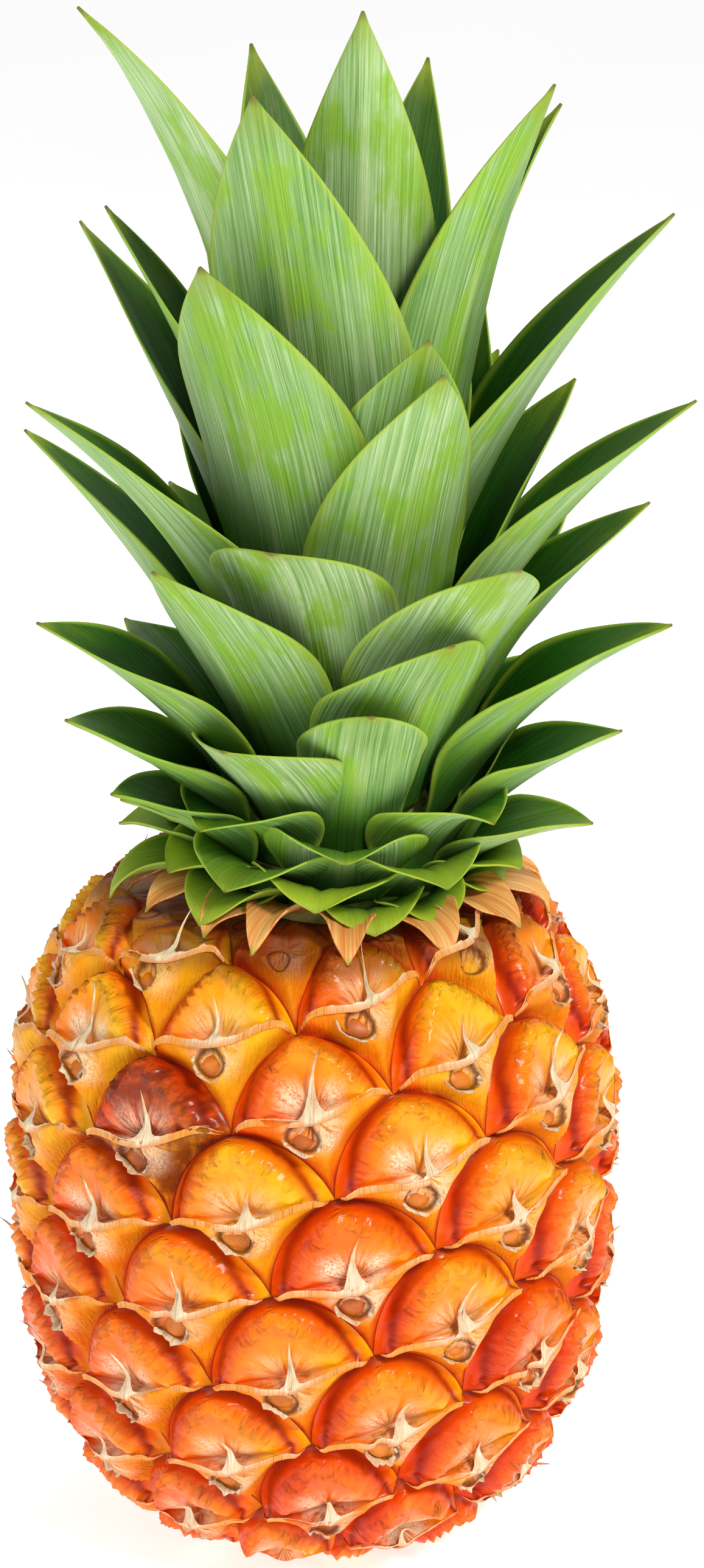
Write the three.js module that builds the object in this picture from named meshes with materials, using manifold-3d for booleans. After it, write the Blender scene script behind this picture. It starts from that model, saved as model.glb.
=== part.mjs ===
// A whole pineapple standing on its cut base. The fruit is one solid whose fruitlets wind round it in
// 8 and 13 spirals. On top of it the crown is a short stem with a spiral of separate channelled leaves.
// Millimetres and degrees. Z is up, the origin is the middle of the flat base and -Y is the front.
import * as THREE from "three";
import { mergeVertices } from "three/addons/utils/BufferGeometryUtils.js";
import Module from "manifold-3d";

const wasm = await Module();
wasm.setup();

const radians = Math.PI / 180;
const goldenAngle = 137.508;
const clearance = 0.3;
const fineness = 0.05;

// The fruit's outline: widest at midHeight, with a blunt superellipse above and below it.
const fruitRadius = 55;
const midHeight = 84;
const upperReach = 54.5;
const upperPower = 2.2;
const upperRoot = 2.3;
const lowerReach = 89;
const lowerPower = 3.4;
const lowerRoot = 1.9;
const seatHeight = 129;

// The fruitlets: each stands a golden angle clockwise from the one below it. Those round the middle
// have more skin than those near the base and the crown, and crowding says by how much.
const fruitletCount = 118;
const frontFruitlet = 82;
const crowding = 0.48;
const leftward = { ranks: 8, turn: 3 * 360 - 8 * goldenAngle, closing: 13 };
const rightward = { ranks: 13, turn: 5 * 360 - 13 * goldenAngle, closing: 8 };
const latticeSteps = [0, 0.2, 0.4, 0.5, 0.6, 0.8];
const grooveDepth = 1.7;
const grooveSlope = 0.7;
const shieldEdge = 0.6;
const shieldHeight = 2.4;
const bractEdge = 0.9;
const bractHeight = 2.6;
const lipHeight = 3.4;
const lipFall = 0.35;
const lipOverhang = 0.6;
const spineHeight = 4.6;
const spineLength = 6.5;
const plainFoot = 1;
const plainShoulder = 134;
const reliefRun = 8;

// The crown, in its own frame: its stem stands a little off the fruit's middle and leans to the right.
const leafCount = 71;
const basalLeaves = 15;
const firstTurn = -92;
const crownX = 5;
const crownZ = 129;
const crownLean = 2.2;
const stemFoot = 0;
const stemHead = 66;
const stemFootRadius = 23;
const stemHeadRadius = 6;
const stemTaper = 0.85;
const stemCap = 4;
const stemSides = 12;
const stemHeights = [-1, 4, 12, 24, 42, 66];
const leafStandoff = 1.1;
const rootDepth = 2.5;
const leavesFrom = 0.8;
const leavesTo = 60;
const rootSpread = 1.75;
const tipSpread = 0.55;
const shallowest = 0.8;
const fullChannelFrom = 30;
const widestAt = 0.45;
const neckShare = 0.42;
const claspRun = 0.25;
const bluntness = 1.6;
const leavingHandle = 0.36;
const arrivingHandle = 0.36;
const steepest = 88;
const ridgeThick = 1.1;
const marginThick = 0.7;
const tipThick = 0.8;
const tipWidth = 1.6;
const lowestTip = 4;
const highestTip = 162;
const tallLeaf = 75;
const plainBelow = 40;

// The heart leaves, from the outermost one, and how much they bow.
const heartReach = [13, 10.5, 8, 5.5];
const heartTop = [132, 124, 116, 108];
const heartWidth = [17, 15, 13, 11];
const heartArch = 4;
const heartHollow = 1.4;

// What the leaves share, from the lowest leaf to the innermost one: arch is how much a leaf bows between
// its foot and its tip, and hook how much further its tip bends down.
const leafReach = [36, 40, 46, 50, 55, 52, 49, 45, 34];
const leafArch = [20, 16, 12, 11, 10, 9, 8, 7, 6];
const leafHook = [10, 8, 6, 5, 4, 2, 2, 0, 0];
const leafWidth = [24, 28, 31, 33, 35, 36, 36, 35, 28];
const leafChannel = [105, 100, 90, 60, 40];

// Leaves with a character of their own: the way they point, how far out and up their tips come, how much
// they bow, how wide and how blunt they are and how far they roll over on their ridge.
const shapedLeaves = {
  0: { turn: -62, reach: 36, top: 7, arch: 50, hook: 15, width: 28 },
  1: { top: 10, arch: 30 },
  2: { turn: -8, reach: 36, top: 7, arch: 62, hook: 30, width: 28 },
  4: { turn: 66, reach: 36, top: 9, arch: 45, hook: 15, width: 28 },
  5: { turn: -95, reach: 42, top: 9, arch: 30 },
  7: { turn: 30, reach: 37, top: 11, arch: 55, hook: 30, width: 30 },
  8: { turn: -112, reach: 37, top: 9 },
  9: { turn: 110, reach: 37, top: 10 },
  10: { turn: -34, reach: 38, top: 9, arch: 50, hook: 25, width: 30 },
  12: { turn: 70, reach: 48, top: 19, arch: 20, hook: 0 },
  13: { turn: -78, reach: 42, top: 18, arch: 20, hook: 0 },
  15: { turn: 0, reach: 35, top: 16, arch: 55, hook: 45, width: 32 },
  17: { turn: 92, reach: 33, top: 22, arch: 14 },
  18: { turn: -64, reach: 47, top: 23, arch: 20, hook: 0 },
  20: { turn: 44, reach: 38, top: 22, arch: 40, hook: 30, width: 33 },
  21: { turn: -102, reach: 31, top: 22 },
  22: { turn: 126, reach: 43, top: 34, arch: 10 },
  23: { turn: -43, reach: 38, top: 19, arch: 45, hook: 20, width: 33 },
  25: { turn: 78, reach: 51, top: 35, arch: 14, hook: 0 },
  26: { turn: -70, reach: 54, top: 36, arch: 14, roll: -8, hook: 0 },
  28: { turn: 4, reach: 46, top: 47, blunt: 3, width: 25 },
  29: { turn: -120, reach: 49, top: 43 },
  30: { turn: 103, reach: 46, top: 45 },
  31: { turn: -28, reach: 47, top: 38.5, blunt: 2.2 },
  33: { turn: 70, reach: 60, top: 58, roll: 10, arch: 15 },
  34: { turn: -68, reach: 60, top: 55, roll: -10 },
  36: { turn: 19, reach: 50, top: 60.5, blunt: 2.4, roll: 15 },
  38: { turn: 86, reach: 53, top: 76, roll: 10, arch: 15, width: 34 },
  39: { turn: -40, reach: 54, top: 70, blunt: 2 },
  41: { turn: 30, reach: 54, top: 74, blunt: 2.6 },
  42: { turn: -92, reach: 60, top: 84 },
  43: { turn: 124, reach: 50, top: 70 },
  44: { turn: -18, reach: 48, top: 75, blunt: 4, hook: 20 },
  46: { turn: 72, reach: 61, top: 98, roll: 10, arch: 18, hook: 0, width: 38 },
  47: { turn: -66, reach: 63, top: 95, roll: -8, arch: 18, hook: 0, width: 40 },
  49: { turn: 16, reach: 46, top: 106, width: 34, blunt: 2.2, roll: 18 },
  50: { turn: -127, reach: 45, top: 98 },
  51: { turn: 112, reach: 43, top: 94, width: 36 },
  52: { turn: -34, reach: 50, top: 122, width: 42, blunt: 2.3 },
  54: { turn: 14, reach: 42, top: 111, width: 34, blunt: 2 },
  55: { turn: -105, reach: 53, top: 120 },
  56: { turn: 140, reach: 36, top: 106 },
  57: { turn: -26, reach: 46, top: 150, width: 44, blunt: 2 },
  59: { turn: 78, reach: 54, top: 129, roll: 12, arch: 14, width: 40 },
  60: { turn: -82, reach: 46, top: 126, roll: -14, arch: 10 },
  61: { top: 118, reach: 38 },
  62: { turn: 48, reach: 40, top: 152, width: 30, hook: 14, arch: 3 },
  63: { top: 120, reach: 32 },
  64: { turn: 85, reach: 33, top: 146, width: 30, roll: 25, hook: 10 },
  65: { turn: -32, reach: 27, top: 124, width: 25 },
  66: { turn: -149, reach: 42, top: 150 },
  67: { turn: 54, reach: 22, top: 122, width: 24 },
  68: { turn: -58, reach: 58, top: 162, width: 34, hook: 16 },
  69: { turn: 162, reach: 35, top: 149, width: 28 },
  70: { turn: -5, reach: 30, top: 163, width: 32, blunt: 1.8 },
};

const mix = (a, b, t) => a + (b - a) * t;
const clamp01 = (x) => Math.min(1, Math.max(0, x));
const smooth = (x) => clamp01(x) ** 2 * (3 - 2 * clamp01(x));
const blend = (a, p, b, q) => a.clone().multiplyScalar(p).addScaledVector(b, q);
const bearing = (degrees) => new THREE.Vector2(1, 0).rotateAround(new THREE.Vector2(), degrees * radians);

// A value that runs through evenly spaced stops as t goes from 0 to 1.
function through(stops, t) {
  const x = clamp01(t) * (stops.length - 1);
  const i = Math.min(stops.length - 2, Math.floor(x));
  return mix(stops[i], stops[i + 1], x - i);
}

// ---- solids ----
function solidFrom(positions, faces) {
  const geometry = new THREE.BufferGeometry();
  geometry.setAttribute("position", new THREE.Float32BufferAttribute(positions, 3));
  geometry.setIndex(faces.flat());
  const merged = mergeVertices(geometry, 1e-4);
  const corners = merged.index.array;
  const whole = [];
  for (let i = 0; i < corners.length; i += 3) {
    const [a, b, c] = corners.slice(i, i + 3);
    if (a !== b && b !== c && c !== a) whole.push(a, b, c);
  }
  const vertProperties = merged.attributes.position.array;
  const mesh = new wasm.Mesh({ numProp: 3, vertProperties, triVerts: new Uint32Array(whole) });
  return new wasm.Manifold(mesh);
}

function meshFrom(name, solid, material) {
  const { vertProperties, triVerts } = solid.getMesh();
  const geometry = new THREE.BufferGeometry();
  geometry.setAttribute("position", new THREE.BufferAttribute(new Float32Array(vertProperties), 3));
  geometry.setIndex(new THREE.BufferAttribute(new Uint32Array(triVerts), 1));
  const faceted = geometry.toNonIndexed();
  faceted.computeVertexNormals();
  const mesh = new THREE.Mesh(faceted, material);
  mesh.name = name;
  return mesh;
}

function largestBody(solid) {
  return solid.decompose().reduce((a, b) => (a.volume() > b.volume() ? a : b));
}

// ---- fruit ----
function outlineRadius(z) {
  const up = z > midHeight;
  const x = clamp01(Math.abs(z - midHeight) / (up ? upperReach : lowerReach));
  const power = up ? upperPower : lowerPower;
  const root = up ? upperRoot : lowerRoot;
  return fruitRadius * (1 - x ** power) ** (1 / root);
}

// The outline from pole to pole, closely sampled, with the area of the skin below each sample.
function sampleOutline() {
  const samples = 800;
  const rows = [{ z: midHeight - lowerReach, r: 0, area: 0 }];
  for (let i = 1; i <= samples; i++) {
    const swing = -Math.cos((Math.PI * i) / samples);
    const z = midHeight + swing * (swing > 0 ? upperReach : lowerReach);
    const r = outlineRadius(z);
    const below = rows[i - 1];
    const step = Math.hypot(z - below.z, r - below.r);
    rows.push({ z, r, area: below.area + (step * (r + below.r)) / 2 });
  }
  return rows;
}

const outline = sampleOutline();

// The skin at rank n, where whole ranks are the fruitlets in order from the base to the top.
function skinAt(rank) {
  const order = clamp01((rank + 0.5) / fruitletCount);
  const area = outline[outline.length - 1].area * mix(order, smooth(order), crowding);
  const i = Math.max(1, outline.findIndex((row) => row.area >= area - 1e-9));
  const a = outline[i - 1];
  const b = outline[i];
  const t = clamp01((area - a.area) / (b.area - a.area));
  const length = Math.hypot(b.z - a.z, b.r - a.r);
  const outR = (b.z - a.z) / length;
  const outZ = (a.r - b.r) / length;
  return { z: mix(a.z, b.z, t), r: mix(a.r, b.r, t), outR, outZ };
}

// How far a point of a fruitlet stands off the skin, and how far it is drawn up over the shield above it.
// across and up run from -1 to 1 between the corners of the fruitlet's diamond.
function relief(across, up) {
  const middle = 1 - Math.abs(across) - Math.abs(up);
  const atLip = Math.abs(up) < 1e-6;
  if (middle < 1e-6) return { off: -grooveDepth, drawn: 0 };
  if (atLip && Math.abs(across) < 1e-6) return { off: spineHeight, drawn: spineLength };
  if (atLip) return { off: lipHeight * (1 - lipFall * Math.abs(across)), drawn: lipOverhang };
  const swell = smooth(middle / grooveSlope);
  const off = up > 0 ? mix(shieldEdge, shieldHeight, swell) : mix(bractEdge, bractHeight, swell);
  return { off, drawn: 0 };
}

// A point of the skin, in steps along the two sides of the fruitlets' diamonds from the front fruitlet.
function skinPoint(u, v) {
  const seat = skinAt(frontFruitlet + u * leftward.ranks + v * rightward.ranks);
  const turn = (u * leftward.turn + v * rightward.turn) * radians;
  const du = u - Math.round(u);
  const dv = v - Math.round(v);
  const { off, drawn } = relief(dv - du, dv + du);
  const fade = smooth((seat.z - plainFoot) / reliefRun) * smooth((plainShoulder - seat.z) / reliefRun);
  const r = seat.r + (seat.outR * off - seat.outZ * drawn) * fade;
  const z = seat.z + (seat.outZ * off + seat.outR * drawn) * fade;
  return [r * Math.sin(turn), -r * Math.cos(turn), z];
}

// The whole skin is one mesh over the lattice of the fruitlets. It closes on itself where 8 steps to the
// right meet 13 steps to the left, and at each pole, where the lattice shrinks to a point.
function fruitSolid() {
  const perSide = latticeSteps.length;
  const spread = (i) => Math.floor(i / perSide) + latticeSteps[((i % perSide) + perSide) % perSide];
  const around = rightward.closing * perSide;
  const lastColumn = rightward.closing * rightward.ranks;
  const low = -Math.ceil((frontFruitlet + 1 + lastColumn) / leftward.ranks) * perSide;
  const high = Math.ceil((fruitletCount - frontFruitlet) / leftward.ranks) * perSide;
  const positions = [];
  for (let j = 0; j < around; j++)
    for (let i = low; i <= high; i++) positions.push(...skinPoint(spread(i), spread(j)));
  const index = (i, j) => {
    const wraps = Math.floor(j / around);
    const shifted = i + wraps * leftward.closing * perSide;
    return (j - wraps * around) * (high - low + 1) + Math.min(high, Math.max(low, shifted)) - low;
  };
  const faces = [];
  for (let j = 0; j < around; j++)
    for (let i = low; i < high; i++) {
      faces.push([index(i, j), index(i, j + 1), index(i + 1, j)]);
      faces.push([index(i + 1, j), index(i, j + 1), index(i + 1, j + 1)]);
    }
  const whole = solidFrom(positions, faces);
  return largestBody(whole.trimByPlane([0, 0, 1], 0).trimByPlane([0, 0, -1], -seatHeight));
}

// ---- crown ----
function stemRadius(z) {
  return mix(stemFootRadius, stemHeadRadius, clamp01((z - stemFoot) / (stemHead - stemFoot)) ** stemTaper);
}

// The lowest leaves root in the stem, and the rest stand just off it.
function leafTraits(k) {
  const t = k / (leafCount - 1);
  return {
    turn: firstTurn - k * goldenAngle,
    foot: mix(leavesFrom, leavesTo, t ** rootSpread),
    standoff: k < basalLeaves ? -rootDepth : leafStandoff,
    reach: through(leafReach, t),
    top: mix(lowestTip, highestTip, mix(t, t * t, tipSpread)),
    arch: through(leafArch, t),
    hook: through(leafHook, t),
    width: through(leafWidth, t),
    hollow: mix(shallowest, 1, clamp01(k / fullChannelFrom)),
    blunt: bluntness,
    roll: 0,
    ...shapedLeaves[k],
  };
}

// The youngest leaves, rolled together at the heart of the crown and rooted in the stem's head.
function heartTraits(i) {
  return {
    turn: firstTurn - (leafCount + i) * goldenAngle,
    foot: leavesTo,
    standoff: -rootDepth,
    reach: heartReach[i],
    top: heartTop[i],
    arch: heartArch,
    hook: 0,
    width: heartWidth[i],
    hollow: heartHollow,
    blunt: bluntness,
    roll: 0,
  };
}

// A leaf's width a share s of the way to its tip, as a share of its greatest width.
function widthShare(leaf, s) {
  if (s < widestAt) return mix(neckShare, 1, Math.sin((Math.PI / 2) * (s / widestAt)));
  return 1 - ((s - widestAt) / (1 - widestAt)) ** leaf.blunt;
}

// How far round a leaf is curled at s, in radians: its foot clasps the stem, and beyond it is a channel.
function channelArc(leaf, s) {
  const round = (leaf.width * neckShare) / (stemRadius(leaf.foot) + leaf.standoff);
  return mix(round, through(leafChannel, s) * leaf.hollow * radians, smooth(s / claspRun));
}

// The ridge of a leaf, outward from the crown's axis and upward.
function leafRidge(leaf) {
  const from = new THREE.Vector2(stemRadius(leaf.foot) + leaf.standoff, leaf.foot);
  const to = new THREE.Vector2(leaf.reach, leaf.top);
  const reach = from.distanceTo(to);
  const chord = Math.atan2(to.y - from.y, to.x - from.x) / radians;
  const leaving = bearing(Math.min(steepest, chord + leaf.arch));
  const arriving = bearing(chord - leaf.arch - leaf.hook);
  const first = from.clone().addScaledVector(leaving, leavingHandle * reach);
  const second = to.clone().addScaledVector(arriving, -arrivingHandle * reach);
  return new THREE.CubicBezierCurve(from, first, second, to);
}

// Where a leaf's ridge is at s, and the ways along, into and across the leaf there.
function leafFrame(leaf, s) {
  const turn = leaf.turn * radians;
  const roll = leaf.roll * s * radians;
  const out = new THREE.Vector3(Math.sin(turn), -Math.cos(turn), 0);
  const level = new THREE.Vector3(Math.cos(turn), Math.sin(turn), 0);
  const up = new THREE.Vector3(0, 0, 1);
  const ridge = leafRidge(leaf);
  const at = ridge.getPoint(s);
  const along = ridge.getTangent(s);
  const above = blend(up, along.x, out, -along.y);
  return {
    at: blend(out, at.x, up, at.y),
    forward: blend(out, along.x, up, along.y),
    inward: blend(above, Math.cos(roll), level, -Math.sin(roll)),
    side: blend(level, Math.cos(roll), above, Math.sin(roll)),
  };
}

// The points of a leaf's outer and inner face at s, from one margin to the other.
function leafRing(leaf, s, across, grow, lengthen) {
  const { at, forward, inward, side } = leafFrame(leaf, s);
  const arc = channelArc(leaf, s);
  const width = Math.max(tipWidth, leaf.width * widthShare(leaf, s));
  const bow = width / arc;
  const outer = [];
  const inner = [];
  for (let j = 0; j <= across; j++) {
    const x = (2 * j) / across - 1;
    const angle = (x * (width + 2 * grow) * arc) / (2 * width);
    const half = mix(mix(ridgeThick, tipThick, s), marginThick, x * x) / 2 + grow;
    const facing = blend(inward, Math.cos(angle), side, -Math.sin(angle));
    const point = blend(side, bow * Math.sin(angle), inward, bow * (1 - Math.cos(angle)));
    point.add(at).addScaledVector(forward, lengthen);
    outer.push(blend(point, 1, facing, -half));
    inner.push(blend(point, 1, facing, half));
  }
  return { outer, inner };
}

// One leaf as a closed channelled blade, made fatter all round by grow.
function leafSolid(leaf, grow = 0) {
  const plain = leaf.standoff < 0 || leaf.top < plainBelow;
  const tall = leaf.top - leaf.foot > tallLeaf;
  const stations = plain ? 3 : tall ? 5 : 4;
  const across = plain ? 2 : 3;
  const rings = [];
  for (let i = 0; i <= stations; i++) {
    const lengthen = i === 0 ? -grow : i === stations ? grow : 0;
    rings.push(leafRing(leaf, i / stations, across, grow, lengthen));
  }
  return blade(rings);
}

// A closed strip between an outer and an inner face that are split into triangles alike.
function blade(rings) {
  const n = rings[0].outer.length;
  const positions = rings.flatMap(({ outer, inner }) => [...outer, ...inner].flatMap((p) => p.toArray()));
  const faces = [];
  const quad = (a, b, c, d) => faces.push([a, b, c], [a, c, d]);
  const outerAt = (i, j) => i * 2 * n + j;
  const innerAt = (i, j) => i * 2 * n + n + j;
  const last = rings.length - 1;
  for (let i = 0; i < last; i++) {
    for (let j = 0; j + 1 < n; j++) {
      quad(outerAt(i, j), outerAt(i, j + 1), outerAt(i + 1, j + 1), outerAt(i + 1, j));
      quad(innerAt(i + 1, j + 1), innerAt(i, j + 1), innerAt(i, j), innerAt(i + 1, j));
    }
    quad(outerAt(i, 0), outerAt(i + 1, 0), innerAt(i + 1, 0), innerAt(i, 0));
    quad(outerAt(i + 1, n - 1), outerAt(i, n - 1), innerAt(i, n - 1), innerAt(i + 1, n - 1));
  }
  for (let j = 0; j + 1 < n; j++) {
    quad(outerAt(0, j + 1), outerAt(0, j), innerAt(0, j), innerAt(0, j + 1));
    quad(outerAt(last, j), outerAt(last, j + 1), innerAt(last, j + 1), innerAt(last, j));
  }
  return solidFrom(positions, faces);
}

function stemSolid(grow = 0) {
  const walls = stemHeights.map((z) => new THREE.Vector2(stemRadius(z) + grow, z));
  const bottom = new THREE.Vector2(0, stemHeights[0]);
  const rim = new THREE.Vector2(stemHeadRadius / 2 + grow, stemHead + stemCap + grow);
  const top = new THREE.Vector2(0, stemHead + stemCap + grow);
  const lathe = new THREE.LatheGeometry([bottom, ...walls, rim, top], stemSides).rotateX(Math.PI / 2);
  return solidFrom([...lathe.attributes.position.array], [[...lathe.index.array]]);
}

const onFruit = (solid) => solid.rotate([0, crownLean, 0]).translate([crownX, 0, crownZ]);

// What a leaf would touch is cut out of it with some clearance, so that neighbours stay apart.
function cutClear(solid, neighbours) {
  const close = neighbours.filter(({ body }) => solid.minGap(body, clearance) < clearance - 0.01);
  if (!close.length) return solid;
  return largestBody(solid.subtract(wasm.Manifold.union(close.map(({ fat }) => fat))).simplify(fineness));
}

// The stem with what is rooted in it: the basal leaves round its foot and the heart leaves on its head.
// It stands just clear of the fruit's flat top.
function rootedCrown(grow = 0) {
  const solids = [onFruit(stemSolid(grow))];
  for (let k = 0; k < basalLeaves; k++) solids.push(onFruit(leafSolid(leafTraits(k), grow)));
  for (let i = 0; i < heartReach.length; i++) solids.push(onFruit(leafSolid(heartTraits(i), grow)));
  const crown = wasm.Manifold.union(solids).trimByPlane([0, 0, 1], seatHeight + clearance - grow);
  return largestBody(crown.simplify(fineness));
}

// ---- the whole ----
function build() {
  const skin = new THREE.MeshStandardMaterial({ color: 0xd9661a, roughness: 0.45, metalness: 0 });
  const pith = new THREE.MeshStandardMaterial({ color: 0x9fb25a, roughness: 0.7, metalness: 0 });
  const green = new THREE.MeshStandardMaterial({ color: 0x5f8f3e, roughness: 0.5, metalness: 0 });

  const pineapple = new THREE.Group();
  const fruit = fruitSolid();
  const stem = rootedCrown();
  pineapple.add(meshFrom("fruit", fruit, skin), meshFrom("crown_stem", stem, pith));
  const standing = [{ body: stem, fat: rootedCrown(clearance) }];
  for (let k = leafCount - 1; k >= basalLeaves; k--) {
    const leaf = leafTraits(k);
    const body = cutClear(onFruit(leafSolid(leaf)), standing);
    standing.push({ body, fat: onFruit(leafSolid(leaf, clearance)) });
    pineapple.add(meshFrom(`crown_leaf_${k}`, body, green));
  }
  return pineapple;
}

export default build();
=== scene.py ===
import math
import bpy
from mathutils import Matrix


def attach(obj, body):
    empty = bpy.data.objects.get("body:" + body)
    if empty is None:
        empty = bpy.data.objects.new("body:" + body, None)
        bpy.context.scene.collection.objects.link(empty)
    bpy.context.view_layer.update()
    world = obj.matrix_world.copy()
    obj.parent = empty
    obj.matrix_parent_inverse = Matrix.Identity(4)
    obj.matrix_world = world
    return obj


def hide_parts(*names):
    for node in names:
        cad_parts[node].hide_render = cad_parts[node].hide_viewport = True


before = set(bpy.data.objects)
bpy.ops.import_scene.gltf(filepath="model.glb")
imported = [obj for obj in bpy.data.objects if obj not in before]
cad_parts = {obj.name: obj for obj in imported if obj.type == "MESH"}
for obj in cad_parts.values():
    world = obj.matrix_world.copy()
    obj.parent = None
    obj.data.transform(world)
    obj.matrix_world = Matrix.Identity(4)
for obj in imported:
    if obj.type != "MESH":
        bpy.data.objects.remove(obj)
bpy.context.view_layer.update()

from types import SimpleNamespace

import bpy
import numpy as np

# A whole pineapple standing on its cut base: the fruit with its winding fruitlets, their papery bracts
# and the crown of leaves. Angles are in degrees. Lengths are in millimetres in the meshes' settings, and
# in metres in the studio's and wherever a finish goes by height.
mm = 0.001
goldenAngle = 137.508


def mix(a, b, t):
    return a + (b - a) * t


def smooth(x):
    x = np.clip(x, 0, 1)
    return x * x * (3 - 2 * x)


def bell(x, width):
    return np.exp(-((x / width) ** 2))


def through(stops, t):
    # a value that runs through evenly spaced stops as t goes from 0 to 1
    return np.interp(t, np.linspace(0, 1, len(stops)), stops)


def ripple(points, size, seed, waves=9):
    # soft unevenness of about one unit, from plane waves in all directions
    draw = np.random.default_rng(seed)
    total = np.zeros(points.shape[:-1])
    for _ in range(waves):
        way = draw.normal(size=points.shape[-1])
        way *= draw.uniform(0.6, 1.5) / np.linalg.norm(way)
        total += np.sin(points @ way * (2 * math.pi / size) + draw.uniform(0, 2 * math.pi))
    return total / math.sqrt(waves)


studio = {
    "cameraPlace": (0.0, -0.590, 0.347),
    "cameraDown": 18.6,
    "cameraRight": 0.7,
    "lens": 76.9,
    "filmHeight": 36.0,
    "floorSide": 24.0,
    "floorPale": ((0.90, 0.90, 0.90), (0.93, 0.93, 0.93)),
    "floorGlow": 0.74,
    "world": 0.30,
    "lamps": [
        # place, width, watts, colour
        ((0.55, -0.75, 0.95), 0.30, 9.5, (1.0, 0.98, 0.94)),
        ((-0.95, -0.60, 0.55), 0.80, 3.4, (0.95, 0.98, 1.0)),
        ((0.30, 0.80, 0.90), 0.60, 4.0, (1.0, 1.0, 1.0)),
    ],
    "lampsAimAt": (0.0, 0.0, 0.15),
}


def addCamera():
    data = bpy.data.cameras.new("camera")
    data.sensor_fit = "VERTICAL"
    data.sensor_height = studio["filmHeight"]
    data.lens = studio["lens"]
    data.clip_start = 0.02
    data.clip_end = 50
    camera = bpy.data.objects.new("camera", data)
    camera.location = studio["cameraPlace"]
    tilt, turn = 90 - studio["cameraDown"], -studio["cameraRight"]
    camera.rotation_euler = (math.radians(tilt), 0, math.radians(turn))
    bpy.context.scene.collection.objects.link(camera)
    bpy.context.scene.camera = camera


def addLamps():
    target = np.array(studio["lampsAimAt"])
    for index, (place, width, watts, colour) in enumerate(studio["lamps"]):
        data = bpy.data.lights.new(f"lamp{index + 1}", "AREA")
        data.shape = "DISK"
        data.size = width
        data.energy = watts
        data.color = colour
        lamp = bpy.data.objects.new(data.name, data)
        lamp.location = place
        x, y, z = target - np.array(place)
        lamp.rotation_euler = (math.acos(-z / math.sqrt(x * x + y * y + z * z)), 0, math.atan2(-x, y))
        bpy.context.scene.collection.objects.link(lamp)


class Wire:
    # a node's output that can stand in a sum
    def __init__(self, finish, socket):
        self.finish = finish
        self.socket = socket

    def __add__(self, other):
        return self.finish.maths("ADD", self, other)

    def __radd__(self, other):
        return self.finish.maths("ADD", other, self)

    def __sub__(self, other):
        return self.finish.maths("SUBTRACT", self, other)

    def __rsub__(self, other):
        return self.finish.maths("SUBTRACT", other, self)

    def __mul__(self, other):
        return self.finish.maths("MULTIPLY", self, other)

    def __rmul__(self, other):
        return self.finish.maths("MULTIPLY", other, self)

    def __truediv__(self, other):
        return self.finish.maths("DIVIDE", self, other)

    def __pow__(self, other):
        return self.finish.maths("POWER", self, other)

    def __abs__(self):
        return self.finish.maths("ABSOLUTE", self)

    def clip(self):
        return self.finish.maths("ADD", self, 0.0, clip=True)

    def ease(self, low, high):
        # 0 below low and 1 above high, or the other way round if high is the smaller
        return self.finish.node(
            "MapRange",
            {"interpolation_type": "SMOOTHSTEP"},
            {"Value": self, "From Min": low, "From Max": high},
        )

    def hump(self, middle, width):
        # 1 at the middle and 0 a width away on either side
        return abs(self - middle).ease(width, 0.0)


class Finish:
    def __init__(self, name):
        self.material = bpy.data.materials.new(name)
        self.material.use_nodes = True
        self.tree = self.material.node_tree
        self.tree.nodes.clear()
        self.coords = self.node("TexCoord", output="Object")

    def node(self, kind, settings=None, inputs=None, output=0):
        made = self.tree.nodes.new("ShaderNode" + kind)
        for key, value in (settings or {}).items():
            if key == "stops":
                self.fillRamp(made.color_ramp, value)
            else:
                setattr(made, key, value)
        for key, value in (inputs or {}).items():
            if isinstance(value, Wire):
                self.tree.links.new(value.socket, made.inputs[key])
            else:
                made.inputs[key].default_value = value
        return Wire(self, made.outputs[output]) if made.outputs else None

    def fillRamp(self, ramp, stops):
        while len(ramp.elements) < len(stops):
            ramp.elements.new(0.5)
        for element, (place, colour) in zip(ramp.elements, stops):
            element.position = place
            element.color = (*colour, 1)

    def maths(self, operation, *values, clip=False):
        return self.node("Math", {"operation": operation, "use_clamp": clip}, dict(enumerate(values)))

    def value(self, name):
        return self.node("Attribute", {"attribute_name": name}, output="Fac")

    def values(self, *names):
        # the mesh's own values by their names, to which a finish adds what it works out from them
        return SimpleNamespace(**{name: self.value(name) for name in names})

    def point(self, x, y, z):
        return self.node("CombineXYZ", {}, {0: x, 1: y, 2: z})

    def noise(self, scale, detail=3.0, rough=0.55, at=None):
        inputs = {"Vector": at or self.coords, "Scale": scale, "Detail": detail, "Roughness": rough}
        return self.node("TexNoise", {}, inputs)

    def ramp(self, value, stops):
        return self.node("ValToRGB", {"stops": stops}, {0: value})

    def blend(self, factor, a, b):
        inputs = {0: factor, 6: self.colour(a), 7: self.colour(b)}
        return self.node("Mix", {"data_type": "RGBA"}, inputs, output=2)

    def cover(self, under, mask, coat):
        # lays a coat, which is how strongly it covers and its colour, over what is under it
        strength, colour = coat
        return self.blend(mask * strength, under, colour)

    def colour(self, value):
        return value if isinstance(value, Wire) else (*value, 1)

    def bump(self, height, strength, distance, normal=None):
        inputs = {"Height": height, "Strength": strength, "Distance": distance * mm}
        if normal:
            inputs["Normal"] = normal
        return self.node("Bump", {}, inputs)

    def done(self, **inputs):
        named = {key.replace("_", " "): value for key, value in inputs.items()}
        surface = self.node("BsdfPrincipled", {}, named)
        self.node("OutputMaterial", {}, {"Surface": surface})
        return self.material


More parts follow.
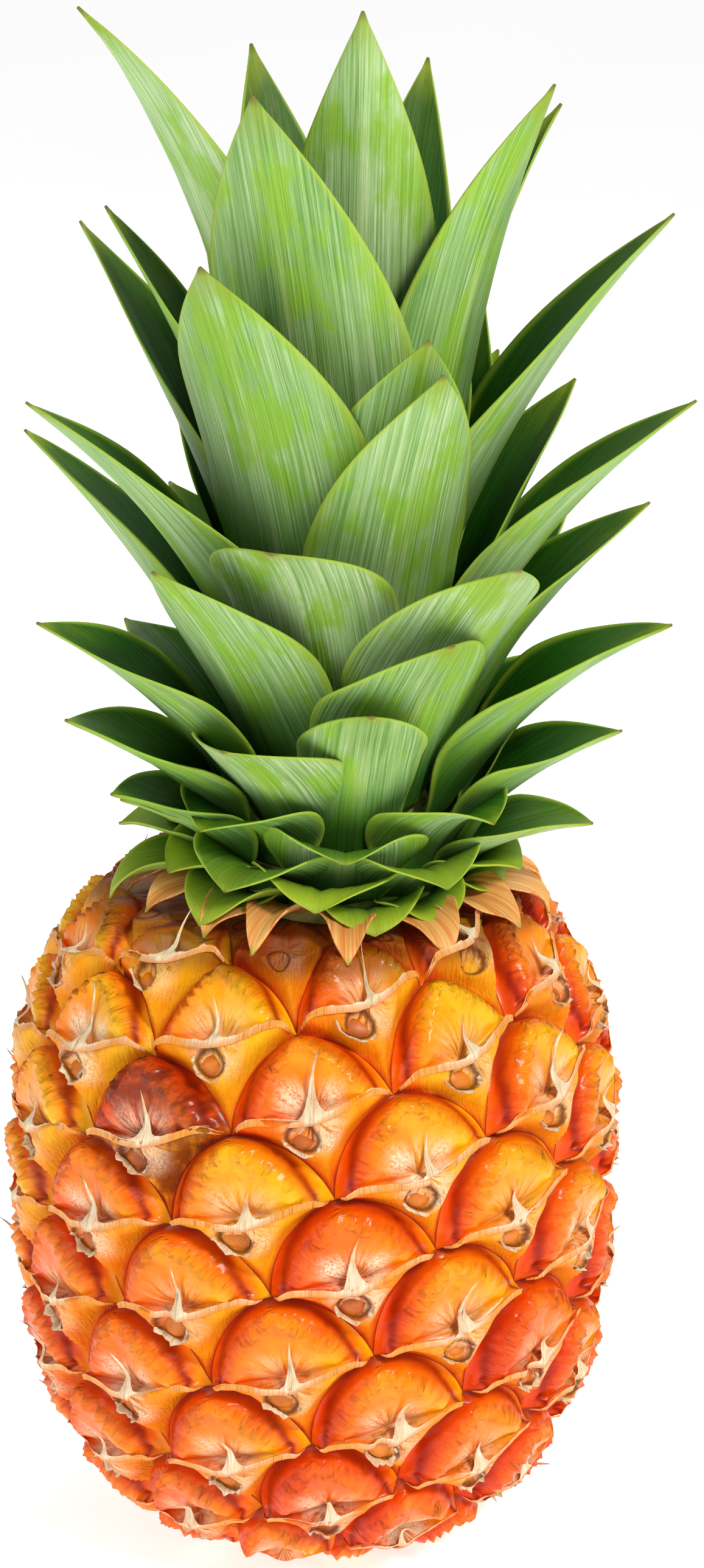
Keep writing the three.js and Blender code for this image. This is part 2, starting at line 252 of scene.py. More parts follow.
def paint(red, green, blue):
    # a colour as mixed on a screen, from 0 to 255, in the linear values that a shader takes
    parts = [value / 255 for value in (red, green, blue)]
    return tuple(p / 12.92 if p < 0.04045 else ((p + 0.055) / 1.055) ** 2.4 for p in parts)


def addPiece(name, points, faces, material, atPoints=None, atCorners=None, replaces=()):
    mesh = bpy.data.meshes.new(name)
    sides = faces.shape[1]
    mesh.vertices.add(len(points))
    mesh.vertices.foreach_set("co", (points * mm).ravel())
    mesh.loops.add(faces.size)
    mesh.loops.foreach_set("vertex_index", faces.ravel())
    mesh.polygons.add(len(faces))
    mesh.polygons.foreach_set("loop_start", np.arange(0, faces.size, sides))
    for domain, values in (("POINT", atPoints or {}), ("CORNER", atCorners or {})):
        for key, data in values.items():
            made = mesh.attributes.new(key, "FLOAT", domain)
            made.data.foreach_set("value", np.ascontiguousarray(data, dtype=np.float32).ravel())
    mesh.update(calc_edges=True)
    mesh.shade_smooth()
    mesh.materials.append(material)
    piece = bpy.data.objects.new(name, mesh)
    bpy.context.scene.collection.objects.link(piece)
    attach(piece, "root")
    if replaces:
        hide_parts(*replaces)


def addFloor():
    finish = Finish("paleFloor")
    pale = finish.blend(finish.noise(3.0), *studio["floorPale"])
    side = studio["floorSide"] / 2
    corners = [(-side, -side, 0), (side, -side, 0), (side, side, 0), (-side, side, 0)]
    mesh = bpy.data.meshes.new("floor")
    mesh.from_pydata(corners, [], [(0, 1, 2, 3)])
    glow = {"Emission_Color": pale, "Emission_Strength": studio["floorGlow"]}
    mesh.materials.append(finish.done(Base_Color=pale, Roughness=0.9, **glow))
    floor = bpy.data.objects.new("floor", mesh)
    bpy.context.scene.collection.objects.link(floor)


def addWorld():
    world = bpy.data.worlds.new("studio")
    world.use_nodes = True
    light = world.node_tree.nodes["Background"]
    light.inputs["Color"].default_value = (1, 1, 1, 1)
    light.inputs["Strength"].default_value = studio["world"]
    bpy.context.scene.world = world
    bpy.context.scene.view_settings.view_transform = "Standard"


class Parts:
    # the parts of one piece as they are made, to be joined in one mesh
    def __init__(self):
        self.points, self.faces, self.values = [], [], {}

    def add(self, points, faces, values):
        # a value may be one number, or a grid that is repeated for each side of a sheet
        self.faces.append(faces + sum(len(part) for part in self.points))
        self.points.append(points)
        grid = np.broadcast_shapes(*(np.shape(data) for data in values.values()))
        for key, data in values.items():
            full = np.resize(np.broadcast_to(data, grid), len(points))
            self.values.setdefault(key, []).append(full)

    def joined(self):
        values = {key: np.concatenate(data) for key, data in self.values.items()}
        return np.concatenate(self.points), np.concatenate(self.faces), values


def twoSides(middle, way, half):
    # the points of a sheet's outer side, then those of its inner side
    step = way * half[..., None]
    return np.concatenate([(middle + step).reshape(-1, 3), (middle - step).reshape(-1, 3)])


def ribbonFaces(rows, columns):
    # quads of a closed flat strip whose outer grid comes first and its inner grid after it
    grid = np.arange(rows * columns).reshape(rows, columns)
    outer = np.stack([grid[:-1, :-1], grid[:-1, 1:], grid[1:, 1:], grid[1:, :-1]], -1).reshape(-1, 4)
    inner = outer[:, ::-1] + rows * columns
    rim = np.concatenate([grid[0], grid[1:, -1], grid[-1, -2::-1], grid[-2:0:-1, 0]])
    ahead = np.roll(rim, -1)
    wall = np.stack([rim, rim + rows * columns, ahead + rows * columns, ahead], -1)
    return np.concatenate([outer, inner, wall])


def hoopFaces(hoops):
    # quads between closed hoops of points, each hoop and the next
    ahead = np.roll(hoops, -1, 1)
    return np.stack([ahead[:-1], ahead[1:], hoops[1:], hoops[:-1]], -1).reshape(-1, 4)


def halved(quads):
    # two triangles for each quad
    return np.concatenate([quads[:, [0, 1, 2]], quads[:, [0, 2, 3]]])


def isWhole(faces):
    # true for a triangle whose corners are three different points
    return (faces != np.roll(faces, 1, 1)).all(1)


outline = {
    "radius": 55,
    "middle": 84,
    # reach, power and root of the blunt curve above and below the middle
    "upper": (54.5, 2.2, 2.3),
    "lower": (89, 3.4, 1.9),
    "seat": 129,
    "samples": 800,
}

lattice = {
    "count": 118,
    "front": 82,
    "crowding": 0.48,
    "leftRanks": 8,
    "rightRanks": 13,
    "leftTurn": 3 * 360 - 8 * goldenAngle,
    "rightTurn": 5 * 360 - 13 * goldenAngle,
    # how far the middle of a fruitlet's upper edges bulges out, in steps of the lattice
    "bulge": 0.16,
    "steps": 28,
    "edgeCrowding": 0.25,
    "seed": 11,
}


def outlineRadius(z):
    up = z > outline["middle"]
    upper, lower = outline["upper"], outline["lower"]
    reach, power, root = (np.where(up, a, b) for a, b in zip(upper, lower))
    share = np.clip(np.abs(z - outline["middle"]) / reach, 0, 1)
    return outline["radius"] * (1 - share**power) ** (1 / root)


def sampleOutline():
    swing = -np.cos(np.linspace(0, math.pi, outline["samples"] + 1))
    z = outline["middle"] + swing * np.where(swing > 0, outline["upper"][0], outline["lower"][0])
    r = outlineRadius(z)
    length = np.hypot(np.diff(z), np.diff(r))
    area = np.concatenate([[0], np.cumsum(length * (r[1:] + r[:-1]) / 2)])
    run = np.concatenate([[0], np.cumsum(length)])
    outR, outZ = np.gradient(z, run), -np.gradient(r, run)
    size = np.hypot(outR, outZ)
    return {"z": z, "r": r, "area": area, "run": run, "outR": outR / size, "outZ": outZ / size}


samples = sampleOutline()


def skinAt(rank):
    # the skin at a rank, where whole ranks are the fruitlets in order from the base to the top
    order = np.clip((rank + 0.5) / lattice["count"], 0, 1)
    area = samples["area"][-1] * mix(order, smooth(order), lattice["crowding"])
    wanted = ("z", "r", "run", "outR", "outZ")
    return {key: np.interp(area, samples["area"], samples[key]) for key in wanted}


def rankOf(u, v):
    return lattice["front"] + u * lattice["leftRanks"] + v * lattice["rightRanks"]


def turnOf(u, v):
    return np.radians(u * lattice["leftTurn"] + v * lattice["rightTurn"])


def rounded(u, v):
    # the lattice drawn so that each fruitlet has a round top and a hollow-sided point below
    du, dv = u - np.round(u), v - np.round(v)
    near = np.minimum(1, np.sqrt((2 * du) ** 4 + (2 * dv) ** 4)) * lattice["bulge"]
    return u + near * (1 - 4 * dv * dv), v + near * (1 - 4 * du * du)


def smoothSkin(u, v):
    # a point of the skin without its relief, the way out of it and the way up along it
    u, v = rounded(u, v)
    seat, turn = skinAt(rankOf(u, v)), turnOf(u, v)
    sin, cos = np.sin(turn), -np.cos(turn)
    place = np.stack([seat["r"] * sin, seat["r"] * cos, seat["z"]], -1)
    out = np.stack([seat["outR"] * sin, seat["outR"] * cos, seat["outZ"]], -1)
    up = np.stack([-seat["outZ"] * sin, -seat["outZ"] * cos, seat["outR"]], -1)
    return place, out, up


def localSteps(u, v):
    # how far one step across and one step up a fruitlet reaches along the skin, in millimetres
    step = 0.05
    mid = skinAt(rankOf(u, v))
    columns = []
    for du, dv in ((-step, step), (step, step)):
        there = skinAt(rankOf(u + du, v + dv))
        turn = turnOf(u + du, v + dv) - turnOf(u, v)
        columns.append((mid["r"] * turn / (2 * step), (there["run"] - mid["run"]) / (2 * step)))
    return np.array(columns).T


def latticePlaces(u0, v0, x, y, across=0.0):
    # the lattice places that lie x to the right of a fruitlet's middle and y above it, or of a point beside
    # the middle, which is given in steps across
    a, b = np.linalg.solve(localSteps(u0, v0), np.stack([x.ravel(), y.ravel()])).reshape(2, *x.shape)
    a = a + across
    return u0 + (b - a) / 2, v0 + (b + a) / 2


def fruitletOf(u, v):
    # which fruitlet a point of the lattice lies in, by its rank
    rank = rankOf(np.round(u), np.round(v))
    return np.clip(rank, 0, lattice["count"] - 1).astype(int)


def fruitletPlaces(lowest, highest):
    # the rank of each fruitlet between two heights, and its place on the lattice
    left, right = lattice["leftRanks"], lattice["rightRanks"]
    for rank in range(lattice["count"]):
        if not lowest <= skinAt(rank)["z"] <= highest:
            continue
        for v in range(left):
            rest = rank - lattice["front"] - right * v
            if rest % left == 0:
                yield rank, rest // left, v


def drawFruitlets():
    # what sets one fruitlet apart from the next, by rank
    draw = np.random.default_rng(lattice["seed"])

    def between(low, high):
        return draw.uniform(low, high, lattice["count"])

    return {
        "tone": between(0, 1),
        "tilt": between(-1, 1),
        "puff": between(0.85, 1.15),
        "wave": between(0, 2 * math.pi),
        "pitX": between(-2.8, -0.6),
        "pitY": between(-4.3, -3.4),
        "pitWide": between(2.5, 3.4),
        "pitTall": between(2.7, 3.5),
        "spineLong": between(5.0, 9.5),
        "spineSide": between(-0.10, 0.04),
        "spineLean": between(-1.6, 2.4),
        "spineLift": between(0.3, 2.6),
        "spineWide": between(0.55, 1.3),
        "powder": between(0, 1) ** 1.3,
    }


fruitlets = drawFruitlets()


def traitsOf(rank):
    # one fruitlet's own traits, or those of many at once
    return {key: values[rank] for key, values in fruitlets.items()}


rind = {
    # a place in a fruitlet of usual size: how far right and up its steps across and up reach
    "across": (16.2, 4.05),
    "up": (-3.85, 16.95),
    # heights and depths are in millimetres, while where a form stands, its width and its run are shares of
    # half a fruitlet
    "groove": -1.9,
    "skirt": 0.1,
    "skirtRun": 0.1,
    "domeHeight": 2.7,
    "domeRound": 0.34,
    "domeBlunt": 2.4,
    "cornerCut": 0.34,
    "cornerPower": 2.5,
    "rim": 0.85,
    "rimAt": 0.26,
    "rimWidth": 0.1,
    "hollow": 1.9,
    "hollowFrom": 0.35,
    "hollowRun": 0.6,
    "wrinkle": 0.8,
    "wrinkles": 33,
    "wrinkleAt": 0.2,
    "wrinkleWidth": 0.13,
    "tilt": 0.5,
    # the crease above the spine, in millimetres too
    "crease": 0.4,
    "creaseWidth": 0.8,
    "creaseFrom": 5,
    "creaseRun": 4,
    "lipTrough": 1.3,
    "troughWidth": 0.13,
    "lip": 3.3,
    "lipFall": 0.35,
    "lipSteep": 0.16,
    "lipWidth": 0.14,
    "lipDraw": 0.9,
    "drawWidth": 0.07,
    "endRun": 0.3,
    "bractRound": 0.55,
    "bractFall": 1.0,
    "bractFallRun": 0.5,
    "bractWave": 0.16,
    "bractWaveRun": 0.12,
    "bractEdgeRun": 0.25,
    # places round the pit are shares of the pit's size
    "pitDepth": 1.5,
    "pitWall": 0.7,
    "pitWallRun": 0.4,
    "pitRim": 0.5,
    "pitRimAt": 1.25,
    "pitRimWidth": 0.4,
    # all over the rind, and the heights on the fruit between which it has its relief, in millimetres
    "unevenness": 0.35,
    "unevenSize": 13,
    "unevenSeed": 5,
    "poleSize": 0.01,
    "plainFoot": 1,
    "plainShoulder": 134,
    "reliefRun": 8,
    # the one fruitlet that has gone dark
    "darkRank": 77,
}


def inMillimetres(across, up):
    # a place in a fruitlet, from its middle: to the right and upward
    x = rind["across"][0] * across + rind["up"][0] * up
    y = rind["across"][1] * across + rind["up"][1] * up
    return x, y


def lipHeight(across):
    return rind["lip"] * (1 - rind["lipFall"] * np.abs(across))


def shieldRelief(across, up, middle, one):
    x, y = inMillimetres(across, up)
    foot = mix(rind["groove"], rind["skirt"], smooth(middle / rind["skirtRun"]))
    middle = middle - rind["cornerCut"] * np.abs(across) ** rind["cornerPower"]
    offFoot = smooth(middle / rind["skirtRun"])
    wall = np.sqrt(1 - (1 - np.clip(middle / rind["domeRound"], 0, 1)) ** rind["domeBlunt"])
    height = foot + (rind["domeHeight"] * one["puff"] - foot) * wall
    height += rind["rim"] * bell(middle - rind["rimAt"], rind["rimWidth"]) * offFoot
    height -= rind["hollow"] * smooth((middle - rind["hollowFrom"]) / rind["hollowRun"])
    height -= rind["lipTrough"] * bell(up, rind["troughWidth"]) * smooth(middle / rind["endRun"])
    facing = np.arctan2(y + 2, x)
    fold = np.sin(rind["wrinkles"] * facing + one["wave"] + 1.5 * np.sin(3 * facing + one["wave"]))
    fold = fold * bell(middle - rind["wrinkleAt"], rind["wrinkleWidth"]) * offFoot
    height += rind["wrinkle"] * fold * smooth(up / rind["endRun"])
    crease = bell(x - 0.8 * one["tilt"], rind["creaseWidth"]) * smooth(middle / 0.2)
    height -= rind["crease"] * crease * smooth((y - rind["creaseFrom"]) / rind["creaseRun"])
    return height + rind["tilt"] * one["tilt"] * across * wall


def bractRelief(across, up, middle, one):
    x, y = inMillimetres(across, up)
    gentle = smooth(middle / rind["bractRound"])
    steep = smooth(middle / rind["lipSteep"])
    offEdge = smooth(middle / rind["bractEdgeRun"])
    height = mix(rind["groove"], lipHeight(across), mix(gentle, steep, bell(up, rind["lipWidth"])))
    height -= rind["bractFall"] * smooth(-up / rind["bractFallRun"]) * offEdge
    wave = np.sin(1.5 * x + one["wave"]) * smooth(-up / rind["bractWaveRun"]) * offEdge
    height += rind["bractWave"] * wave
    away = np.hypot((x - one["pitX"]) / one["pitWide"], (y - one["pitY"]) / one["pitTall"])
    height += rind["pitRim"] * bell(away - rind["pitRimAt"], rind["pitRimWidth"])
    return height - rind["pitDepth"] * (1 - smooth((away - rind["pitWall"]) / rind["pitWallRun"]))


def relief(u, v):
    # how far the rind stands off the smooth skin, and how far it is drawn up along it
    du, dv = u - np.round(u), v - np.round(v)
    across, up = dv - du, dv + du
    middle = 1 - 2 * np.maximum(np.abs(du), np.abs(dv))
    one = traitsOf(fruitletOf(u, v))
    onShield = up > 1e-6
    height = np.where(
        onShield, shieldRelief(across, up, middle, one), bractRelief(across, up, middle, one)
    )
    drawn = rind["lipDraw"] * bell(up, rind["drawWidth"]) * smooth(middle / rind["endRun"])
    drawn = np.where(onShield, 0, drawn)
    z = skinAt(rankOf(u, v))["z"]
    foot = smooth((z - rind["plainFoot"]) / rind["reliefRun"])
    fade = foot * smooth((rind["plainShoulder"] - z) / rind["reliefRun"])
    return height * fade, drawn * fade


def rindPoint(u, v):
    place, out, up = smoothSkin(u, v)
    height, drawn = relief(u, v)
    height = height + rind["unevenness"] * ripple(place, rind["unevenSize"], rind["unevenSeed"])
    return place + out * height[..., None] + up * drawn[..., None]


def rindMesh():
    # the rind's points and triangles, and the lattice places of each triangle's corners
    left, right, steps = lattice["leftRanks"], lattice["rightRanks"], lattice["steps"]
    share = np.arange(steps) / steps
    share = share + lattice["edgeCrowding"] * np.sin(2 * math.pi * share) / (2 * math.pi)
    low = -math.ceil((lattice["front"] + 1 + left * right) / left)
    high = math.ceil((lattice["count"] - lattice["front"]) / left)
    around = left * steps
    columns, rows = np.arange(low * steps, high * steps + 1), np.arange(around)

    def spread(i):
        return i // steps + share[i % steps]

    def index(i, j):
        # past the last row the rows start again, further along
        wraps = j // around
        shifted = np.clip(i + wraps * right * steps, columns[0], columns[-1])
        return (j - wraps * around) * len(columns) + shifted - columns[0]

    points = rindPoint(*np.meshgrid(spread(columns), spread(rows)))
    points[..., 2] = np.clip(points[..., 2], 0, outline["seat"])
    i, j = (side.ravel() for side in np.meshgrid(columns[:-1], rows))
    # two triangles a step, kept as steps beside the points because each belongs to one fruitlet
    cornerI = np.concatenate([np.stack([i, i, i + 1], 1), np.stack([i + 1, i, i + 1], 1)])
    cornerJ = np.concatenate([np.stack([j, j + 1, j], 1), np.stack([j, j + 1, j + 1], 1)])
    flat = points.reshape(-1, 3)
    # at each end the rows run together in one point on the axis
    flat[np.hypot(flat[:, 0], flat[:, 1]) < rind["poleSize"], :2] = 0
    _, first, merged = np.unique(np.round(flat, 4), axis=0, return_index=True, return_inverse=True)
    faces = merged.ravel()[index(cornerI, cornerJ)]
    whole = isWhole(faces)
    return flat[first], faces[whole], spread(cornerI[whole]), spread(cornerJ[whole])


def addRind(material):
    points, faces, u, v = rindMesh()
    cellU, cellV = np.round(u.mean(1, keepdims=True)), np.round(v.mean(1, keepdims=True))
    across, up = v - cellV - (u - cellU), v - cellV + (u - cellU)
    which = fruitletOf(cellU, cellV) + 0 * faces
    values = {"across": across, "up": up, "bract": (up.mean(1, keepdims=True) < 0) + 0.0 * up}
    values.update({key: fruitlets[key][which] for key in ("tone", "powder", "pitX", "pitY")})
    values["dark"] = (which == rind["darkRank"]) * 1.0
    print("rind:", len(faces), "faces")
    addPiece("rind", points, faces, material, atCorners=values, replaces=("fruit",))


rindColours = {
    # from yellow to red
    "shield": [
        (0.00, paint(255, 188, 14)),
        (0.25, paint(254, 152, 6)),
        (0.50, paint(250, 116, 4)),
        (0.75, paint(240, 86, 4)),
        (1.00, paint(222, 64, 2)),
    ],
    "bract": [
        (0.00, paint(255, 192, 26)),
        (0.35, paint(252, 152, 10)),
        (0.65, paint(244, 106, 8)),
        (1.00, paint(206, 52, 4)),
    ],
    # how red they are everywhere, and how much redder with their tone, low on the fruit, to the right, up,
    # with the clouding and towards the groove
    "shieldRed": dict(start=0.11, tone=0.34, low=0.28, right=-0.020, up=-0.010, cloud=0.70, groove=0.42),
    "bractRed": dict(start=0.18, tone=0.25, low=0.22, right=-0.012, up=0, cloud=0.8, groove=0.45),
    "darkRed": 0.35,
    "scar": [
        (0.3, paint(120, 84, 48)),
        (0.5, paint(186, 146, 92)),
        (0.7, paint(222, 190, 130)),
    ],
    # coats: how strongly each covers, and its colour
    # painted shade: a dark red laid in the grooves between fruitlets, where shade falls
    "groove": (0.80, paint(150, 24, 4)),
    "smear": (0.55, paint(120, 46, 14)),
    "bruise": (0.75, paint(84, 26, 12)),
    "powder": (0.90, paint(255, 232, 200)),
    "paleRay": (0.90, paint(255, 226, 184)),
    "darkRay": (0.60, paint(138, 52, 18)),
    "fibre": (0.80, paint(110, 48, 22)),
    "pitRing": (0.85, paint(92, 30, 8)),
    # painted shade: the top of the fruit darkened under the crown
    "paintedShadeUnderCrown": (0.70, paint(110, 36, 8)),
}


def redness(red, here, groove):
    total = red["start"] + red["tone"] * here.tone + red["low"] * here.low + red["right"] * here.x
    return total + red["up"] * here.y + red["cloud"] * (here.cloud - 0.5) + red["groove"] * groove


def rindBase(finish, here):
    # yellow at the middle and the right, red at the left, at the foot and towards the groove
    shieldRed = redness(rindColours["shieldRed"], here, abs(here.domeEdge).ease(0.26, 0.0))
    shieldRed = (shieldRed + rindColours["darkRed"] * here.dark).clip()
    bractRed = redness(rindColours["bractRed"], here, here.edge.ease(0.22, 0.0)).clip()
    shieldColour = finish.ramp(shieldRed, rindColours["shield"])
    bractColour = finish.ramp(bractRed, rindColours["bract"])
    return finish.blend(here.bract, shieldColour, bractColour)


def rindPowder(finish, here):
    # white powder in two wings beside the spine, and in a fan below the pit
    wing = (abs(here.x + 0.3).hump(3.6, 3.6) * here.y.hump(3.2, 4.2)).clip()
    fan = (here.x - 2.5).hump(0.5, 4.5) * (here.y + 4.0).hump(0.0, 5.0)
    grain = finish.noise(2.2, 5.0, 0.8, at=here.local).ease(0.36, 0.66)
    return (wing * here.shield * here.powder * 2.0 + fan * here.bract * (0.5 + here.powder)) * grain


def rindCoats(finish, here, colour):
    coats = rindColours
    # painted shade: the grooves round each fruitlet darkened to a deep red
    colour = finish.cover(colour, abs(here.domeEdge).ease(0.08, 0.0), coats["groove"])
    # brown specks and smears
    smear = finish.noise(0.33, 5.0, 0.7, at=finish.point(here.x, here.y * 0.6, 9 * here.tone + 3))
    colour = finish.cover(colour, smear.ease(0.62, 0.78), coats["smear"])
    colour = finish.cover(colour, here.dark * here.cloud.ease(0.35, 0.6), coats["bruise"])
    colour = finish.cover(colour, here.dusted, coats["powder"])
    # pale and dark rays that spread from the foot of the spine
    x, y = here.x + 0.5, here.y - 0.5
    away = (x ** 2.0 + y ** 2.0) ** 0.5
    around = finish.maths("ARCTAN2", y, x)
    rays = finish.noise(1.0, 4.0, 0.7, at=finish.point(around * 6.0, away * 0.16, 23 * here.tone))
    pale = rays.ease(0.44, 0.58) * away.ease(8.5, 1.5) * (0.5 + 0.5 * here.powder)
    colour = finish.cover(colour, pale, coats["paleRay"])
    colour = finish.cover(colour, rays.ease(0.46, 0.36) * away.ease(8.0, 2.0), coats["darkRay"])
    # brown fibres that fan out of the pit and the lip
    fibres = finish.noise(1.0, 4.0, 0.7, at=finish.point(here.x * 1.7, here.y * 0.22, 17 * here.tone))
    fanned = (here.y + 3.4).hump(0.0, 5.5) * (here.x - 0.5).hump(0.0, 6.5)
    colour = finish.cover(colour, here.bract * fibres.ease(0.55, 0.68) * fanned, coats["fibre"])
    # the dark ring round the pit
    away = (((here.x - here.pitX) / 3.0) ** 2.0 + ((here.y - here.pitY) / 3.1) ** 2.0) ** 0.5
    colour = finish.cover(colour, here.bract * away.hump(0.95, 0.30), coats["pitRing"])
    # painted shade on the top of the fruit, under the crown
    colour = finish.cover(colour, here.height.ease(0.1235, 0.1280), coats["paintedShadeUnderCrown"])
    # the scar where the stalk was cut, and the plain skin round it
    scar = finish.ramp(finish.noise(180.0, 5.0, 0.7), coats["scar"])
    return finish.blend(here.cut, colour, scar)


def rindFinish():
    finish = Finish("rind")
    here = finish.values("across", "up", "bract", "tone", "powder", "dark", "pitX", "pitY")
    here.x, here.y = inMillimetres(here.across, here.up)
    here.shield = 1 - here.bract
    here.edge = 1 - (abs(here.across) + abs(here.up))
    here.domeEdge = here.edge - rind["cornerCut"] * here.shield * abs(here.across) ** rind["cornerPower"]
    here.height = finish.node("SeparateXYZ", {}, {0: finish.coords}, output="Z")
    here.low = here.height.ease(0.125, 0.03)
    here.cut = here.height.ease(0.0022, 0.0004)
    here.local = finish.point(here.x, here.y, 40 * here.tone)
    here.cloud = finish.noise(0.16, 4.0, 0.6, at=here.local)
    here.dusted = rindPowder(finish, here)
    colour = rindCoats(finish, here, rindBase(finish, here))

    # radial wrinkles at the rim of the shield, folds along the bract, and pores all over
    spoke = finish.maths("ARCTAN2", here.y + 2, here.x)
    wavy = finish.noise(6.0, 2.0, 0.5, at=finish.point(spoke * 1.2, 5 * here.tone, here.edge * 0.5))
    rim = here.edge.hump(0.20, 0.17) * here.shield * here.up.ease(0.02, 0.25)
    folds = finish.noise(1.5, 3.0, 0.6, at=finish.point(here.x * 1.2, here.y * 0.25, 31 * here.tone))
    pores = finish.noise(0.9, 4.0, 0.65, at=here.local)
    normal = finish.bump(wavy * rim, 1.0, 1.8)
    normal = finish.bump(folds * here.bract, 0.7, 0.8, normal)
    normal = finish.bump(pores, 0.35, 0.35, normal)
    powdery = here.dusted.clip()
    rough = 0.30 + 0.25 * (pores - 0.5) + 0.16 * here.bract + 0.4 * powdery
    rough = (rough + 0.45 * here.cut + 0.12 * here.cloud).clip()
    return finish.done(
        Base_Color=colour,
        Roughness=rough,
        Normal=normal,
        Coat_Weight=(here.shield * (1 - powdery) * 0.24 * (1 - here.cut)).clip(),
        Coat_Roughness=0.16,
        Specular_IOR_Level=0.15,
    )


bractTip = {
    "lowest": 9,
    "highest": 126,
    "offFloor": 0.3,
    "columns": 34,
    "rows": 7,
    "rowCrowding": 0.85,
    # places beside the spine, close together where it rises out of the lip
    "besideSpine": [0, 0.06, 0.14, 0.26, 0.42, 0.62, 0.9, 1.3, 1.9, 2.8],
    "reachAcross": 0.93,
    "thick": 0.2,
    "thinEdge": 0.1,
    "lipRise": 0.2,
    "lowEnds": 0.45,
    "endRun": 0.25,
    "root": 0.25,
    "leftFlare": 0.026,
    "rightFlare": 0.05,
    "wave": 0.16,
    "waves": (17, 41),
    "curl": 0.3,
    "curlWave": 0.16,
    "curlRun": 0.6,
    "bridge": 4.0,
    "clear": 0.45,
    "lipClear": 0.15,
    "rootClear": 0.12,
    "fold": 0.3,
    "foldWidth": 0.8,
    "foldRun": 2,
}


def tipColumns(one):
    beside = np.array(bractTip["besideSpine"]) * one["spineWide"]
    left = one["spineSide"] - beside[:0:-1] * bractTip["leftFlare"]
    right = one["spineSide"] + beside * bractTip["rightFlare"]
    far, count = bractTip["reachAcross"], bractTip["columns"] // 2
    leftFar = np.linspace(-far, left[0], count, endpoint=False)
    rightFar = np.linspace(far, right[-1], count, endpoint=False)[::-1]
    return np.concatenate([leftFar, left, right, rightFar])


def tipMesh(u0, v0, one):
    # the papery edge of one bract with its spine
    across = tipColumns(one)
    besides = across - one["spineSide"]
    flare = np.where(besides < 0, bractTip["leftFlare"], bractTip["rightFlare"]) * one["spineWide"]
    peak = np.exp(-np.abs(besides) / flare)
    coarse, fine = bractTip["waves"]
    frill = np.sin(across * coarse + one["wave"]) + 0.6 * np.sin(across * fine + 2 * one["wave"])
    ends = smooth((bractTip["reachAcross"] - np.abs(across)) / bractTip["endRun"])
    tall = bractTip["lipRise"] * mix(bractTip["lowEnds"], 1, ends) + bractTip["wave"] * frill * ends
    tall = np.maximum(tall + one["spineLong"] * peak, bractTip["lipRise"])
    share = np.linspace(0, 1, bractTip["rows"])[:, None] ** bractTip["rowCrowding"]
    y = -bractTip["root"] + (tall + bractTip["root"]) * share
    upSpine = np.clip(y / one["spineLong"], 0, 1.2) ** 2 * peak
    u, v = latticePlaces(u0, v0, one["spineLean"] * upSpine, y, across)
    place, out, up = smoothSkin(u, v)
    height, _ = relief(u, v)
    lip, lipDrawn = relief(u0 - across / 2, v0 + across / 2)
    clear = height + bractTip["clear"]
    over = np.maximum(clear, mix(lip + bractTip["lipClear"], clear, smooth(y / bractTip["bridge"])))
    off = np.where(y < 0, mix(height, lip, 0.5) + bractTip["rootClear"], over)
    curl = (bractTip["curl"] + bractTip["curlWave"] * frill) * smooth(y / bractTip["curlRun"]) * ends
    off = off + curl * (1 - peak) + one["spineLift"] * upSpine
    fold = bell(besides / flare, bractTip["foldWidth"]) * smooth(y / bractTip["foldRun"])
    off = off + bractTip["fold"] * fold
    drawn = lipDrawn * smooth((y + bractTip["root"]) / bractTip["root"])
    middle = place + out * off[..., None] + up * drawn[..., None]
    half = mix(bractTip["thick"], bractTip["thinEdge"], share) / 2
    sideways = besides * localSteps(u0, v0)[0, 0]
    values = {"cross": sideways, "run": y, "tone": one["tone"], "tip": y / one["spineLong"]}
    return twoSides(middle, out, half), ribbonFaces(*y.shape), values


def addBractTips(material):
    parts = Parts()
    for rank, u0, v0 in fruitletPlaces(bractTip["lowest"], bractTip["highest"]):
        parts.add(*tipMesh(u0, v0, traitsOf(rank)))
    points, faces, values = parts.joined()
    points[:, 2] = np.maximum(points[:, 2], bractTip["offFloor"])
    print("bract tips:", 2 * len(faces), "triangles")
    addPiece("bractTips", points, faces, material, atPoints=values)


paperColours = {
    "paper": [
        (0.25, paint(190, 140, 92)),
        (0.40, paint(232, 196, 146)),
        (0.55, paint(250, 232, 198)),
        (0.80, paint(255, 246, 224)),
    ],
    "patch": (0.70, paint(226, 140, 66)),
    "tip": (0.60, paint(150, 100, 62)),
    "root": (0.80, paint(238, 140, 44)),
    "edgeCover": 0.90,
    "edge": (paint(150, 66, 20), paint(248, 158, 50)),
}


def paperFinish():
    finish = Finish("paperyBract")
    here = finish.values("cross", "run", "tone", "tip")
    fibre = finish.noise(1.0, 4.0, 0.7, at=finish.point(here.cross * 4.5, here.run * 0.25, 60 * here.tone))
    cloud = finish.noise(0.25, 3.0, 0.6, at=finish.point(here.cross, here.run, 60 * here.tone))
    colour = finish.ramp(fibre, paperColours["paper"])
    colour = finish.cover(colour, cloud.ease(0.5, 0.75), paperColours["patch"])
    colour = finish.cover(colour, here.tip.ease(0.8, 1.05), paperColours["tip"])
    colour = finish.cover(colour, here.run.ease(0.15, -0.3), paperColours["root"])
    # away from the spine the edge is as orange as the bract, with brown fibres
    away = abs(here.cross).ease(2.0, 7.0) * (1 - here.tip.ease(0.0, 0.4))
    away = away * (0.5 + 0.5 * cloud.ease(0.40, 0.55))
    edge = finish.blend(fibre.ease(0.30, 0.5), *paperColours["edge"])
    colour = finish.cover(colour, away, (paperColours["edgeCover"], edge))
    return finish.done(
        Base_Color=colour,
        Roughness=0.62 + 0.2 * cloud,
        Normal=finish.bump(fibre, 0.8, 0.3),
    )


